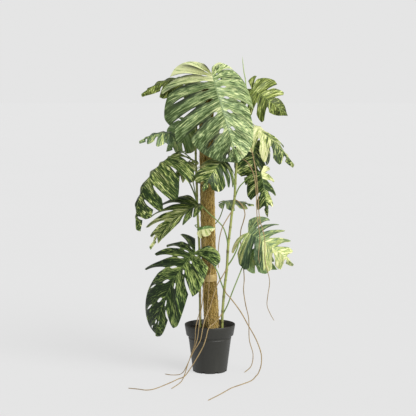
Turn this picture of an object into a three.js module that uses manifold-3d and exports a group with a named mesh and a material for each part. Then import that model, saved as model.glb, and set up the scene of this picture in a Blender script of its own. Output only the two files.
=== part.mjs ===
// Potted variegated monstera on a coir pole, 1.5 m tall. Millimetres, +Z up.
// The origin is the centre of the pot's underside. +X is the viewer's right, +Y points away from the front.
import * as THREE from "three";
import { mergeVertices } from "three/addons/utils/BufferGeometryUtils.js";
import Module from "manifold-3d";

const wasm = await Module();
wasm.setup();

const DEG = Math.PI / 180;
const TURN = 2 * Math.PI;

// Gap between pieces that touch, and how much wider the room is that a blade has in its petiole
const CLEARANCE = 0.3;
const BLADE_ROOM = 1.5 * CLEARANCE;
// Slivers thinner than this, left where one piece is cut to clear another, are closed up
const SLIVER = 0.06;

// Nursery pot: a tapering shell with a collar, a ridge under it and drain notches round its foot
const POT = {
  height: 226,
  rimRadius: 120,
  collarHeight: 52,
  collarFootRadius: 112,
  shoulderRadius: 103,
  footRadius: 81,
  wall: 2.6,
  floor: 3.2,
  edge: 2,
  ridge: 1.2,
  ridgeDrop: 15,
  segments: 36,
};
const COLLAR_FOOT = POT.height - POT.collarHeight;
const NOTCH = { count: 8, width: 15, height: 8, depth: 12 };

// Soil: its top is a low mound with waves round it
const SOIL = { top: 200, mound: 7, wave: 2, segments: 24 };

// Coir pole, a little wider at its foot and unevenly round, with a tie round it
const POLE = { radius: 33, flare: 3, flareShare: 0.3, roughness: 0.84, sides: 18, rings: 13 };
const POLE_WIDEST = POLE.radius + 1.7 * POLE.roughness;
const POLE_PATH = [
  [11, 6, 30],
  [9, 6, 215],
  [-3, 7, 461],
  [-12, 9, 860],
  [-19, 11, 1352],
];
const TIE = { height: 449, width: 36, thickness: 1.6 };

// Every blade's outline: distance from the sinus as a share of the blade's length,
// at angles in degrees away from the tip
const OUTLINE = [
  [0, 1.0],
  [12, 0.99],
  [30, 0.91],
  [50, 0.77],
  [70, 0.67],
  [95, 0.56],
  [120, 0.41],
  [142, 0.34],
  [162, 0.22],
];
// Side veins leave the midrib close together near the sinus and bow towards the tip
const VEIN = { crowding: 0.8, startPower: 2.4, lastStart: 0.95, bow: 0.07 };
const BLADE_THICKNESS = 1.0;
const MIDRIB_DEPTH = 2.2;
// Shares of the blade's length: how deep the veins lie, and how unlike its fingers are
const FINGER = {
  quilt: 0.028, reach: 0.94, reachSpread: 0.12, longest: 0.45, pointPower: 1.3, tipPoint: 1.5,
  twist: 0.05, slitPower: 0.5,
};
// How a blade narrows towards its tip: by how much, and at what angle most, in degrees
const TAPER = { share: 0.12, angle: 15 };
// The angles, in degrees, over which a blade's basal lobes grow or shrink by the share basal
const BASAL = { start: 90, span: 40 };
// Small holes beside the midrib, as shares of the way to the margin
const HOLE = { start: 0.1, end: 0.26, share: 0.11 };
// Closed windows between two joined fingers, measured the same way
const WINDOW = { start: 0.45, end: 0.8, share: 0.06 };

// Leaves, from the crown down. base is where the petiole meets the blade and tip is the end of the
// midrib. face is the way the upper side looks. arch is how far the midrib bends between its ends, in
// degrees. width, fold, curl, gap, joined and windows are [left, right] of a midrib seen from above
// with its tip away: each half leaves the midrib at the angle fold and turns by the angle curl over
// half the length. lobes are the fingers of each half, counted from the sinus. cut is the share of the
// width that stays whole, gap the width of a slit as a share of a finger. joined lists the fingers that
// have no slit after them, windows those with a closed window there. point is how far a finger's
// corners fall short of its longest place. droop hangs the fingers' ends as a share of the length.
// sinus is the angle from the tip at which the basal lobes end, basal how large those lobes are.
const LEAVES = {
  crown: {
    base: [11, -40, 1404], tip: [128, -180, 1005], face: [-0.1, -0.95, 0.3],
    width: [0.76, 1], arch: 25, fold: [-22, 5], curl: [-52, -22],
    lobes: 8, cut: 0.42, gap: [0.08, 0.12], droop: 0.05, sinus: 162, seed: 3,
    point: 0.14, joined: [[2, 3, 5, 6, 7], [0, 3, 6, 7]], windows: [[], [3, 6, 7]], holes: true,
    taper: 0.04, basal: [0.8, 1.2],
  },
  top_left: {
    base: [-98, 124, 1385], tip: [-330, 84, 1310], face: [-0.2, -0.45, 0.87],
    width: [0.7, 0.75], arch: 50, fold: [-5, 0], curl: [-30, -60],
    lobes: 5, cut: 0.4, gap: [0.16, 0.16], droop: 0.06, sinus: 120, seed: 5,
    point: 0.3, joined: [[0, 2, 4], [0, 2, 4]], windows: [[], []],
  },
  top_right: {
    base: [200, 104, 1338], tip: [371, 72, 1214], face: [0.1, -0.9, 0.35],
    width: [0.85, 0.9], arch: 20, fold: [0, 0], curl: [-20, -20],
    lobes: 5, cut: 0.36, gap: [0.12, 0.2], droop: 0.05, sinus: 140, seed: 7,
    point: 0.3, joined: [[1, 4], [4]], windows: [[], []],
  },
  right_cream: {
    base: [212, 44, 1162], tip: [400, -14, 980], face: [0.5, -0.4, 0.75],
    width: [0.6, 0.65], arch: 20, fold: [0, -20], curl: [-20, -60],
    lobes: 4, cut: 0.34, gap: [0.18, 0.22], droop: 0.06, sinus: 120, seed: 11,
    point: 0.3, joined: [[0], [0]], windows: [[], []],
  },
  right_inner: {
    base: [227, 26, 1096], tip: [172, 14, 884], face: [0.35, -0.9, 0.1],
    width: [0.95, 1], arch: 20, fold: [-10, -10], curl: [-30, -30],
    lobes: 5, cut: 0.34, gap: [0.12, 0.12], droop: 0.05, sinus: 118, seed: 13,
    point: 0.25, joined: [[1], [3]], windows: [[], []],
  },
  right_hanging: {
    base: [240, -32, 950], tip: [272, -60, 742], face: [0.2, -0.9, 0.1],
    width: [0.62, 0.65], arch: 20, fold: [-15, -15], curl: [-40, -40],
    lobes: 4, cut: 0.3, gap: [0.24, 0.2], droop: 0.05, sinus: 130, seed: 17,
    point: 0.35, joined: [[], [1]], windows: [[], []],
  },
  left_arching: {
    base: [-186, -35, 1026], tip: [-342, -110, 680], face: [-0.7, -0.2, 0.65],
    width: [0.78, 0.65], arch: 65, fold: [-20, 0], curl: [-45, -30],
    lobes: 7, cut: 0.32, gap: [0.16, 0.2], droop: 0.05, sinus: 150, seed: 19,
    point: 0.3, joined: [[1, 3], [2]], windows: [[], []],
  },
  left_small: {
    base: [-178, -20, 1134], tip: [-333, -50, 1096], face: [0, -0.35, 0.93],
    width: [0.75, 0.75], arch: 35, fold: [0, 0], curl: [-30, -30],
    lobes: 4, cut: 0.34, gap: [0.16, 0.18], droop: 0.08, sinus: 130, seed: 23,
    point: 0.3, joined: [[], []], windows: [[], []],
  },
  left_pale: {
    base: [-98, 92, 1155], tip: [-210, 82, 1042], face: [-0.2, -0.9, 0.4],
    width: [1, 1], arch: 20, fold: [0, 0], curl: [-20, -20],
    lobes: 4, cut: 0.42, gap: [0.12, 0.12], droop: 0.05, sinus: 125, seed: 29,
    point: 0.2, joined: [[1], [1]], windows: [[], []],
  },
  centre: {
    base: [61, -106, 1010], tip: [-34, -244, 884], face: [0, -0.6, 0.8],
    width: [0.85, 1.1], arch: 45, fold: [-20, 0], curl: [-50, -40],
    lobes: 5, cut: 0.32, gap: [0.16, 0.14], droop: 0.06, sinus: 125, seed: 31,
    point: 0.28, joined: [[3], [3]], windows: [[], []],
  },
  left_inner: {
    base: [-92, -44, 1000], tip: [-186, -98, 880], face: [-0.4, -0.5, 0.75],
    width: [0.46, 1.15], arch: 30, fold: [-10, -10], curl: [-40, -30],
    lobes: 5, cut: 0.34, gap: [0.16, 0.12], droop: 0.05, sinus: 130, seed: 37,
    point: 0.25, joined: [[1], [2]], windows: [[], []],
  },
  left_middle: {
    base: [-54, -56, 806], tip: [-286, -116, 604], face: [-0.45, -0.45, 0.77],
    width: [0.62, 1.08], arch: 35, fold: [30, 20], curl: [-35, -30],
    lobes: 5, cut: 0.3, gap: [0.22, 0.22], droop: 0.05, sinus: 84, seed: 41,
    point: 0.32, joined: [[2], [0]], windows: [[], []],
  },
  low_left: {
    base: [-70, -64, 580], tip: [-256, -118, 182], face: [-0.55, -0.75, 0.32],
    width: [0.52, 0.8], arch: 60, fold: [15, 5], curl: [-30, -25],
    lobes: 7, cut: 0.36, gap: [0.16, 0.26], droop: 0.05, sinus: 128, seed: 43,
    point: 0.28, joined: [[0, 2, 4, 6], [4, 5, 6]], windows: [[], [4, 5, 6]], holes: true,
    taper: 0.02,
  },
  pole_cream: {
    base: [-46, -52, 682], tip: [28, -70, 694], face: [0, -0.8, 0.6],
    width: [0.45, 0.9], arch: 20, fold: [0, 0], curl: [-20, -20],
    lobes: 2, cut: 0.5, gap: [0.08, 0.1], droop: 0.04, sinus: 150, seed: 47,
    point: 0.15, joined: [[], []], windows: [[], []],
  },
  edge_on: {
    base: [72, 58, 802], tip: [212, 66, 790], face: [0, -0.2, 0.98],
    width: [0.75, 0.9], arch: 10, fold: [5, 5], curl: [-20, -20],
    lobes: 3, cut: 0.36, gap: [0.16, 0.2], droop: 0.06, sinus: 150, seed: 53,
    point: 0.25, joined: [[], []], windows: [[], []],
  },
  low_right: {
    base: [182, 15, 662], tip: [402, -12, 508], face: [0.15, -0.85, 0.5],
    width: [1.14, 0.88], arch: 30, fold: [-5, -5], curl: [-30, -35],
    lobes: 6, cut: 0.22, gap: [0.27, 0.2], droop: 0.08, sinus: 120, seed: 59,
    point: 0.34, joined: [[0], [1, 3]], windows: [[], []],
  },
  low_pale: {
    base: [178, 40, 556], tip: [322, 20, 484], face: [0.1, -0.9, 0.4],
    width: [0.6, 0.7], arch: 20, fold: [0, 0], curl: [-20, -20],
    lobes: 3, cut: 0.5, gap: [0.12, 0.12], droop: 0.04, sinus: 130, seed: 61,
    point: 0.15, joined: [[1], []], windows: [[], []],
  },
};

// Stems: centre line and radius at each end
const STEM_SIDES = 8;
const STEMS = {
  stem_right: {
    path: [
      [58, -22, 92], [59, -22, 262], [68, -26, 392], [80, -28, 497], [86, -28, 602], [97, -26, 700],
      [104, -24, 763], [115, -22, 822], [120, -20, 910], [124, -16, 987], [128, -8, 1080], [134, 2, 1180],
      [138, 8, 1250],
    ],
    radius: [6.5, 5.5],
    steps: 20,
  },
  stem_left: {
    path: [
      [-46, 12, 92], [-46, 12, 262], [-48, 8, 450], [-50, 2, 600], [-58, 2, 751], [-60, 0, 804],
      [-62, 0, 900], [-66, 2, 1000], [-66, 6, 1101], [-62, 12, 1200], [-58, 16, 1280],
    ],
    radius: [6, 5],
    steps: 16,
  },
};

// Petioles: the stem that carries each one, where it leaves that stem, and the points on its way
const PETIOLE_SIDES = 5;
const PETIOLES = {
  crown: {
    stem: "stem_right",
    via: [[135, 3, 1195], [116, 22, 1270], [84, 30, 1345], [44, 8, 1396]],
    radius: [5, 4],
  },
  top_left: { stem: "stem_left", via: [[-59, 15, 1265], [-76, 78, 1340]], radius: [3.5, 3] },
  top_right: { stem: "stem_right", via: [[136, 5, 1215], [170, 84, 1270]], radius: [3.5, 3] },
  right_cream: { stem: "stem_right", via: [[130, -4, 1112], [168, 34, 1160]], radius: [3.5, 3] },
  right_inner: { stem: "stem_right", via: [[126, -12, 1035], [178, 40, 1105]], radius: [3.5, 3] },
  right_hanging: {
    stem: "stem_right",
    via: [[116, -22, 828], [137, -26, 880], [167, -26, 912], [200, -24, 940]],
    radius: [3, 2.6],
  },
  left_arching: {
    stem: "stem_left",
    via: [[-60, 0, 808], [-80, 20, 862], [-108, 50, 918], [-146, 54, 982]],
    radius: [3.5, 3],
  },
  left_small: {
    stem: "stem_left",
    via: [[-65, 1, 960], [-88, -16, 1012], [-140, -22, 1060]],
    radius: [2.8, 2.4],
  },
  left_pale: { stem: "stem_left", via: [[-66, 4, 1060], [-78, 62, 1115]], radius: [3, 2.6] },
  centre: {
    stem: "stem_right",
    via: [[118, -21, 868], [108, -42, 930], [90, -68, 985]],
    radius: [3.5, 3],
  },
  left_inner: {
    stem: "stem_left",
    via: [[-60, 0, 795], [-70, -24, 860], [-80, -34, 912], [-88, -38, 970]],
    radius: [2.8, 2.4],
  },
  left_middle: {
    stem: "stem_right",
    via: [[86, -28, 602], [76, -40, 655], [60, -50, 697], [32, -56, 728], [-6, -60, 763], [-38, -58, 796]],
    radius: [3.2, 2.6],
  },
  low_left: {
    stem: "stem_right",
    via: [[67, -26, 392], [50, -48, 440], [38, -58, 480], [12, -64, 525], [-20, -66, 560], [-48, -66, 578]],
    radius: [3.2, 2.8],
  },
  pole_cream: { stem: "stem_left", via: [[-55, 2, 700], [-70, -26, 700]], radius: [2.4, 2] },
  edge_on: {
    stem: "stem_left",
    via: [[-52, 2, 640], [-54, 34, 650], [-14, 60, 668], [38, 62, 712]],
    radius: [2.8, 2.4],
  },
  low_right: {
    stem: "stem_right",
    via: [[81, -28, 505], [104, -34, 540], [126, -32, 585], [142, -10, 625]],
    radius: [3.4, 2.8],
  },
  low_pale: {
    stem: "stem_right",
    via: [[60, -22, 275], [82, -28, 318], [105, -26, 380], [152, 16, 490]],
    radius: [3, 2.6],
  },
};

// Aerial roots: what each one grows from, its centre line and its radius at each end
const ROOT_SIDES = 5;
const ROOTS = {
  // From the main stem, down in front of the pot's right side and along the floor towards the front
  root_long_right: {
    from: "stem_right",
    path: [
      [66, -26, 414], [76, -42, 381], [94, -52, 362], [143, -62, 298], [177, -70, 238], [220, -78, 160],
      [242, -84, 93], [240, -88, 41], [228, -92, 8], [216, -130, 3.4], [192, -216, 2.8], [146, -289, 2.8],
      [100, -353, 2.8], [48, -466, 2.8], [-9, -580, 2.8],
    ],
    radius: [2.7, 2.0],
    steps: 26,
  },
  root_right: {
    from: "stem_right",
    path: [
      [116, -22, 822], [134, -34, 814], [154, -46, 790], [164, -50, 758], [156, -40, 717], [146, 10, 670],
      [148, 50, 590], [160, 50, 491], [164, 40, 437], [161, 36, 380], [171, 30, 312], [185, 22, 249],
      [189, 14, 143], [206, 0, 77], [196, -25, 26], [163, -57, 2.8],
    ],
    radius: [2.6, 1.9],
    steps: 26,
  },
  // Two roots from high on the main stem that hang side by side, then part
  root_twin_left: {
    from: "stem_right",
    path: [
      [125, -14, 1012], [152, -60, 1014], [175, -95, 1000], [194, -108, 967], [206, -116, 930],
      [214, -124, 847], [219, -128, 740], [227, -130, 694], [231, -130, 652], [225, -130, 567],
      [230, -130, 534],
    ],
    radius: [2.7, 1.6],
    steps: 18,
  },
  root_twin_right: {
    from: "stem_right",
    path: [
      [130, -4, 1098], [166, -8, 1092], [190, -26, 1064], [206, -64, 1000], [214, -92, 946], [222, -120, 847],
      [230, -128, 740], [243, -130, 694], [253, -130, 652], [257, -130, 541], [277, -130, 452],
      [269, -130, 384], [266, -130, 337], [283, -130, 294], [299, -130, 266],
    ],
    radius: [2.7, 1.5],
    steps: 22,
  },
  // Along and across the front of the pole
  root_pole_right: {
    from: "stem_right",
    path: [
      [102, -25, 766], [80, -50, 734], [60, -66, 700], [46, -62, 650], [40, -52, 596], [38, -44, 547],
      [40, -38, 499],
    ],
    radius: [2.6, 1.8],
    steps: 12,
  },
  root_pole_front: {
    from: "petiole_low_left",
    path: [[6, -65, 526], [-2, -52, 459], [-8, -46, 367], [-12, -46, 306], [-5, -42, 220], [-2, -40, 170]],
    radius: [2.2, 2.0],
    steps: 10,
  },
  // Over the rim at the front left and down to the floor
  root_cross: {
    from: "stem_right",
    path: [
      [80, -28, 497], [62, -50, 468], [29, -60, 412], [7, -66, 342], [-6, -80, 306], [-19, -98, 277],
      [-28, -114, 251], [-34, -124, 228], [-46, -124, 169], [-76, -124, 120], [-100, -124, 68],
      [-113, -124, 26], [-118, -146, 14], [-124, -178, 4.4], [-136, -257, 2.8], [-173, -372, 2.8],
    ],
    radius: [2.6, 1.8],
    steps: 26,
  },
  root_pole_left: {
    from: "petiole_low_left",
    path: [
      [-10, -66, 548], [-24, -54, 461], [-30, -50, 401], [-34, -62, 351], [-43, -86, 298], [-49, -108, 260],
      [-52, -120, 229], [-60, -118, 173], [-86, -118, 101], [-112, -112, 40], [-127, -108, 15],
      [-144, -104, 4.4], [-183, -105, 2.8], [-212, -85, 2.8],
    ],
    radius: [2.4, 1.7],
    steps: 22,
  },
  root_back_left: {
    from: "stem_left",
    path: [
      [-48, 6, 420], [-46, -22, 385], [-47, -70, 306], [-59, -102, 262], [-66, -112, 231], [-72, -108, 151],
      [-84, -106, 112], [-95, -106, 82],
    ],
    radius: [2.3, 1.5],
    steps: 14,
  },
  root_long_left: {
    from: "stem_right",
    path: [
      [59, -22, 283], [44, -62, 268], [20, -100, 248], [-6, -126, 229], [-18, -126, 184], [-31, -126, 145],
      [-67, -130, 79], [-94, -134, 36], [-118, -142, 5.2], [-147, -189, 3.2], [-196, -286, 2.8],
      [-261, -388, 2.8], [-288, -397, 2.8], [-321, -380, 2.8], [-368, -362, 2.8],
    ],
    radius: [2.6, 1.9],
    steps: 26,
  },
};

// Rolled new leaf at the top
const SHOOT = {
  path: [
    [138, 9, 1240], [156, 54, 1262], [175, 80, 1302], [172, 92, 1345], [167, 84, 1390], [160, 70, 1423],
    [152, 48, 1492],
  ],
  radius: [3.6, 1.4],
  steps: 9,
};

const MATERIALS = {
  pot: { color: 0x3a3d3f, roughness: 0.55 },
  soil: { color: 0x3b2c20, roughness: 1 },
  coir: { color: 0x8a6136, roughness: 1 },
  tie: { color: 0xb0854f, roughness: 0.8 },
  stem: { color: 0x7d9440, roughness: 0.5 },
  petiole: { color: 0x6f8a3a, roughness: 0.5 },
  root: { color: 0xb58a5c, roughness: 0.7 },
  blade: { color: 0x5d7d3f, roughness: 0.4 },
};

const vector = ([x, y, z]) => new THREE.Vector3(x, y, z);

// A repeatable number from 0 to 1 for a seed and a place
function chance(seed, place) {
  const s = Math.sin(seed * 127.1 + place * 311.7) * 43758.5453;
  return s - Math.floor(s);
}

function solidOf(geometry) {
  const bare = geometry.index ? geometry.toNonIndexed() : geometry.clone();
  bare.deleteAttribute("normal");
  bare.deleteAttribute("uv");
  const merged = mergeVertices(bare, 1e-3);
  return new wasm.Manifold(
    new wasm.Mesh({
      numProp: 3,
      vertProperties: merged.attributes.position.array,
      triVerts: new Uint32Array(merged.index.array),
    }),
  );
}

function geometryOf(solid) {
  const mesh = solid.getMesh();
  const geometry = new THREE.BufferGeometry();
  geometry.setAttribute("position", new THREE.BufferAttribute(mesh.vertProperties, 3));
  geometry.setIndex(new THREE.BufferAttribute(mesh.triVerts, 1));
  return geometry;
}

// The largest body that a cut leaves
function largestBody(solid) {
  const largest = solid.decompose().reduce((a, b) => (a.volume() > b.volume() ? a : b));
  return largest.asOriginal().simplify(SLIVER);
}

function geometryFrom(points, triangles) {
  const geometry = new THREE.BufferGeometry();
  const numbers = points.flatMap((p) => [p.x, p.y, p.z]);
  geometry.setAttribute("position", new THREE.Float32BufferAttribute(numbers, 3));
  geometry.setIndex(triangles);
  return geometry;
}

const smoothCurve = (path) => new THREE.CatmullRomCurve3(path.map(vector), false, "centripetal");

// A closed tube along a smooth curve, its radius from radiusAt(share of the length, angle)
function sweep(path, radiusAt, sides, steps) {
  const curve = smoothCurve(path);
  const frames = curve.computeFrenetFrames(steps, false);
  const points = [];
  for (let i = 0; i <= steps; i++) {
    const centre = curve.getPointAt(i / steps);
    for (let s = 0; s < sides; s++) {
      const angle = (s / sides) * TURN;
      const r = radiusAt(i / steps, angle);
      const point = centre.clone().addScaledVector(frames.normals[i], r * Math.cos(angle));
      points.push(point.addScaledVector(frames.binormals[i], r * Math.sin(angle)));
    }
  }
  const triangles = [];
  for (let i = 0; i < steps; i++)
    for (let s = 0; s < sides; s++) {
      const next = (s + 1) % sides;
      const [a, b, c, d] = [i * sides + s, i * sides + next, (i + 1) * sides + next, (i + 1) * sides + s];
      triangles.push(a, b, c, a, c, d);
    }
  const last = steps * sides;
  for (let s = 1; s < sides - 1; s++) {
    triangles.push(0, s + 1, s);
    triangles.push(last, last + s, last + s + 1);
  }
  return geometryFrom(points, triangles);
}

// The same, with a radius that goes evenly from one end to the other
function taperedTube(path, [start, end], sides, steps, extra = 0) {
  return sweep(path, (share) => start + (end - start) * share + extra, sides, steps);
}

// Pot

function potOuterRadius(z) {
  if (z <= COLLAR_FOOT) return POT.footRadius + ((POT.shoulderRadius - POT.footRadius) * z) / COLLAR_FOOT;
  const flare = POT.rimRadius - POT.collarFootRadius;
  return POT.collarFootRadius + (flare * (z - COLLAR_FOOT)) / POT.collarHeight;
}

const potInnerRadius = (z) => potOuterRadius(z) - POT.wall;

function potGeometry() {
  const ridge = COLLAR_FOOT - POT.ridgeDrop;
  const profile = [
    [0, 0],
    [POT.footRadius - POT.edge, 0],
    [potOuterRadius(POT.edge), POT.edge],
    [potOuterRadius(ridge - POT.edge), ridge - POT.edge],
    [potOuterRadius(ridge) + POT.ridge, ridge],
    [potOuterRadius(ridge + POT.edge), ridge + POT.edge],
    [POT.shoulderRadius, COLLAR_FOOT],
    [POT.collarFootRadius, COLLAR_FOOT],
    [POT.rimRadius, POT.height - POT.edge],
    [POT.rimRadius - POT.edge / 2, POT.height],
    [potInnerRadius(POT.height), POT.height],
    [potInnerRadius(COLLAR_FOOT + POT.wall), COLLAR_FOOT + POT.wall],
    [potInnerRadius(COLLAR_FOOT - POT.wall), COLLAR_FOOT - POT.wall],
    [potInnerRadius(POT.floor), POT.floor],
    [0, POT.floor],
  ];
  const shell = new THREE.LatheGeometry(profile.map(([r, z]) => new THREE.Vector2(r, z)), POT.segments);
  shell.rotateX(Math.PI / 2);
  let pot = solidOf(shell);
  for (let i = 0; i < NOTCH.count; i++) {
    const notch = new THREE.BoxGeometry(2 * NOTCH.depth, NOTCH.width, 2 * NOTCH.height);
    notch.translate(POT.footRadius + NOTCH.depth / 3, 0, 0);
    notch.rotateZ(((i + 0.5) / NOTCH.count) * TURN);
    pot = pot.subtract(solidOf(notch));
  }
  return geometryOf(pot);
}

// Soil fills the pot, with a plain hole for each thing that stands in it
function soilSolid(standing) {
  const fit = Math.cos(Math.PI / POT.segments);
  const wall = (z) => potInnerRadius(z) * fit - CLEARANCE;
  const wave = (count, turn) => (angle) => SOIL.wave * Math.sin(count * angle + turn);
  const flat = () => 0;
  const rings = [
    [0.4 * wall(SOIL.top), SOIL.top + SOIL.mound, wave(3, 0)],
    [0.78 * wall(SOIL.top), SOIL.top + SOIL.mound / 2, wave(5, 1)],
    [wall(SOIL.top), SOIL.top, flat],
    [wall(COLLAR_FOOT + POT.wall), COLLAR_FOOT + POT.wall + CLEARANCE, flat],
    [wall(COLLAR_FOOT - POT.wall), COLLAR_FOOT - POT.wall, flat],
    [wall(POT.floor), POT.floor + CLEARANCE, flat],
  ];
  const crest = new THREE.Vector3(0, 0, SOIL.top + SOIL.mound);
  const points = [crest, new THREE.Vector3(0, 0, POT.floor + CLEARANCE)];
  for (const [radius, height, uneven] of rings)
    for (let s = 0; s < SOIL.segments; s++) {
      const angle = (s / SOIL.segments) * TURN;
      const level = height + uneven(angle);
      points.push(new THREE.Vector3(radius * Math.cos(angle), radius * Math.sin(angle), level));
    }
  const at = (ring, s) => 2 + ring * SOIL.segments + (s % SOIL.segments);
  const triangles = [];
  for (let s = 0; s < SOIL.segments; s++) {
    triangles.push(0, at(0, s), at(0, s + 1));
    triangles.push(1, at(rings.length - 1, s + 1), at(rings.length - 1, s));
    for (let ring = 0; ring < rings.length - 1; ring++) {
      triangles.push(at(ring, s), at(ring + 1, s), at(ring + 1, s + 1));
      triangles.push(at(ring, s), at(ring + 1, s + 1), at(ring, s + 1));
    }
  }
  return standing.reduce((soil, hole) => soil.subtract(hole), solidOf(geometryFrom(points, triangles)));
}

// Pole and its tie

function poleRadius(share, angle) {
  const uneven = Math.sin(5 * angle + 31 * share) + 0.7 * Math.sin(9 * angle - 47 * share);
  return POLE.radius + POLE.flare * Math.max(0, 1 - share / POLE.flareShare) + POLE.roughness * uneven;
}

function poleSolid(extra = 0) {
  const radius = (share, angle) => poleRadius(share, angle) + extra;
  return solidOf(sweep(POLE_PATH, radius, POLE.sides, POLE.rings));
}

function tieSolid() {
  const curve = smoothCurve(POLE_PATH);
  const middle = (TIE.height - POLE_PATH[0][2]) / (POLE_PATH.at(-1)[2] - POLE_PATH[0][2]);
  const half = TIE.width / 2 / curve.getLength();
  const path = (reach) => [-1, 0, 1].map((end) => curve.getPointAt(middle + end * half * reach).toArray());
  const inner = POLE_WIDEST / Math.cos(Math.PI / POLE.sides) + CLEARANCE / 2;
  const band = solidOf(sweep(path(1), () => inner + TIE.thickness, POLE.sides, 1));
  return band.subtract(solidOf(sweep(path(2), () => inner, POLE.sides, 1)));
}

// Blades

// Radius of the outline at an angle from the tip, smooth through the table
function outlineRadius(angle) {
  const last = OUTLINE.length - 1;
  let i = 0;
  while (i < last - 1 && angle > OUTLINE[i + 1][0]) i++;
  const [a0, r0] = OUTLINE[i];
  const [a1, r1] = OUTLINE[i + 1];
  const slope = (j) => {
    const before = OUTLINE[Math.max(0, j - 1)];
    const after = OUTLINE[Math.min(last, j + 1)];
    return (after[1] - before[1]) / (after[0] - before[0]);
  };
  const h = a1 - a0;
  const s = (angle - a0) / h;
  const ends = r0 * (1 + 2 * s) * (1 - s) ** 2 + r1 * s * s * (3 - 2 * s);
  return ends + slope(i) * h * s * (1 - s) ** 2 - slope(i + 1) * h * s * s * (1 - s);
}

// How far the slit after finger k is open at t from the midrib (0) to the margin (1), as a share of
// a finger
function slitShare(leaf, side, k, t) {
  if (k < 0 || k >= leaf.lobes) return 0;
  const half = side > 0 ? 0 : 1;
  const isJoined = leaf.joined[half].includes(k);
  const openings = [leaf.holes && HOLE, leaf.windows[half].includes(k) && WINDOW];
  const opening = openings.find((range) => range && t > range.start && t < range.end);
  if (opening)
    return opening.share * Math.sin((Math.PI * (t - opening.start)) / (opening.end - opening.start));
  if (isJoined || t <= leaf.cut) return 0;
  return leaf.gap[half] * ((t - leaf.cut) / (1 - leaf.cut)) ** FINGER.slitPower;
}

// The first and last finger of the lobe that finger k belongs to
function lobeOf(leaf, side, k) {
  const joined = leaf.joined[side > 0 ? 0 : 1];
  let low = k;
  let high = k;
  while (joined.includes(low - 1)) low--;
  while (joined.includes(high)) high++;
  return [low, high];
}

// A point of the flat blade in shares of its length: x along the midrib, y across it.
// place runs along the midrib from the sinus (0) to the tip (1).
function flatPoint(leaf, side, place, t) {
  const angle = leaf.sinus * (1 - place ** VEIN.crowding);
  const { taper = TAPER.share, basal = [1, 1] } = leaf;
  const half = side > 0 ? 0 : 1;
  const slim = (angle / TAPER.angle) * Math.exp(1 - angle / TAPER.angle);
  const lobe = Math.min(1, Math.max(0, (angle - BASAL.start) / BASAL.span));
  const radius = outlineRadius(angle) * (1 - taper * slim) * (1 + (basal[half] - 1) * lobe);
  const start = VEIN.lastStart * place ** VEIN.startPower;
  const marginX = radius * Math.cos(angle * DEG);
  const marginY = radius * Math.sin(angle * DEG) * leaf.width[half];
  const dx = marginX - start;
  const controlX = start + dx / 2 - VEIN.bow * marginY;
  const controlY = marginY / 2 + VEIN.bow * dx;
  return [
    (1 - t) ** 2 * start + 2 * t * (1 - t) * controlX + t * t * marginX,
    2 * t * (1 - t) * controlY + t * t * marginY,
  ];
}

// The leaf's own axes in space: along the midrib's chord, to its left, and out of its upper side
function leafAxes(leaf) {
  const along = vector(leaf.tip).sub(vector(leaf.base));
  const chord = along.length();
  along.normalize();
  const up = vector(leaf.face);
  up.addScaledVector(along, -up.dot(along)).normalize();
  const left = up.clone().cross(along);
  return { along, left, up, chord };
}

// A flat point carried onto the arched, folded and curled blade
function bentPoint(leaf, axes, side, x, y, lift) {
  const arch = leaf.arch * DEG;
  const length = (axes.chord * arch) / (2 * Math.sin(arch / 2));
  const slope = arch * (0.5 - x);
  const run = (length * (Math.sin(arch / 2) - Math.sin(slope))) / arch;
  const rise = (length * (Math.cos(slope) - Math.cos(arch / 2))) / arch;
  const half = side > 0 ? 0 : 1;
  const fold = leaf.fold[half] * DEG;
  const curl = 2 * leaf.curl[half] * DEG;
  const across = (length * (Math.sin(fold + curl * y) - Math.sin(fold))) / curl;
  const out = (length * (Math.cos(fold) - Math.cos(fold + curl * y))) / curl;
  const normal = axes.up.clone().multiplyScalar(Math.cos(slope));
  normal.addScaledVector(axes.along, -Math.sin(slope));
  return vector(leaf.base)
    .addScaledVector(axes.along, run)
    .addScaledVector(axes.up, rise)
    .addScaledVector(axes.left, side * across)
    .addScaledVector(normal, out + lift * length);
}

// A point of finger k on one side, at w from -1 (towards the sinus) to 1 (towards the tip)
function bladePoint(leaf, axes, side, k, w, t) {
  const isLast = k === leaf.lobes;
  const fingers = leaf.lobes + 0.5;
  const first = k / fingers;
  const share = Math.min(1, (k + 1) / fingers) - first;
  const before = slitShare(leaf, side, k - 1, t);
  const after = slitShare(leaf, side, k, t);
  const place = first + share * (before + ((w + 1) / 2) * (1 - before - after));
  const [low, high] = lobeOf(leaf, side, k);
  const isEnd = high === leaf.lobes;
  const random = (n) => (isEnd ? 0.5 : chance(leaf.seed, 10 * low + n + (side > 0 ? 0 : 500)));
  const open = Math.max(0, (t - leaf.cut) / (1 - leaf.cut));
  const breadth = Math.min(high + 1, fingers) - low;
  const across = (2 * (k - low + ((w + 1) / 2) * share * fingers)) / breadth - 1;
  const lead = isEnd ? (1 - across) / 2 : Math.abs(across - FINGER.longest) / (1 + FINGER.longest);
  const point = isEnd ? FINGER.tipPoint * leaf.point : leaf.point;
  const cutBack = point * lead ** (isEnd ? 1 : FINGER.pointPower);
  const reach = FINGER.reach + FINGER.reachSpread * random(1) - cutBack;
  const along = t <= leaf.cut ? t : leaf.cut + (t - leaf.cut) * ((reach - leaf.cut) / (1 - leaf.cut));
  const [x, y] = flatPoint(leaf, side, place, along);
  const droop = leaf.droop * (0.4 + 1.2 * random(2)) * open * open;
  const twist = isEnd ? 0 : FINGER.twist * (random(3) - 0.5) * across * open;
  const quilt = FINGER.quilt * (isLast ? (1 - w) / 2 : 1 - w * w) * Math.sin(Math.PI * t);
  return bentPoint(leaf, axes, side, x, y, twist - droop - quilt);
}

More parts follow.
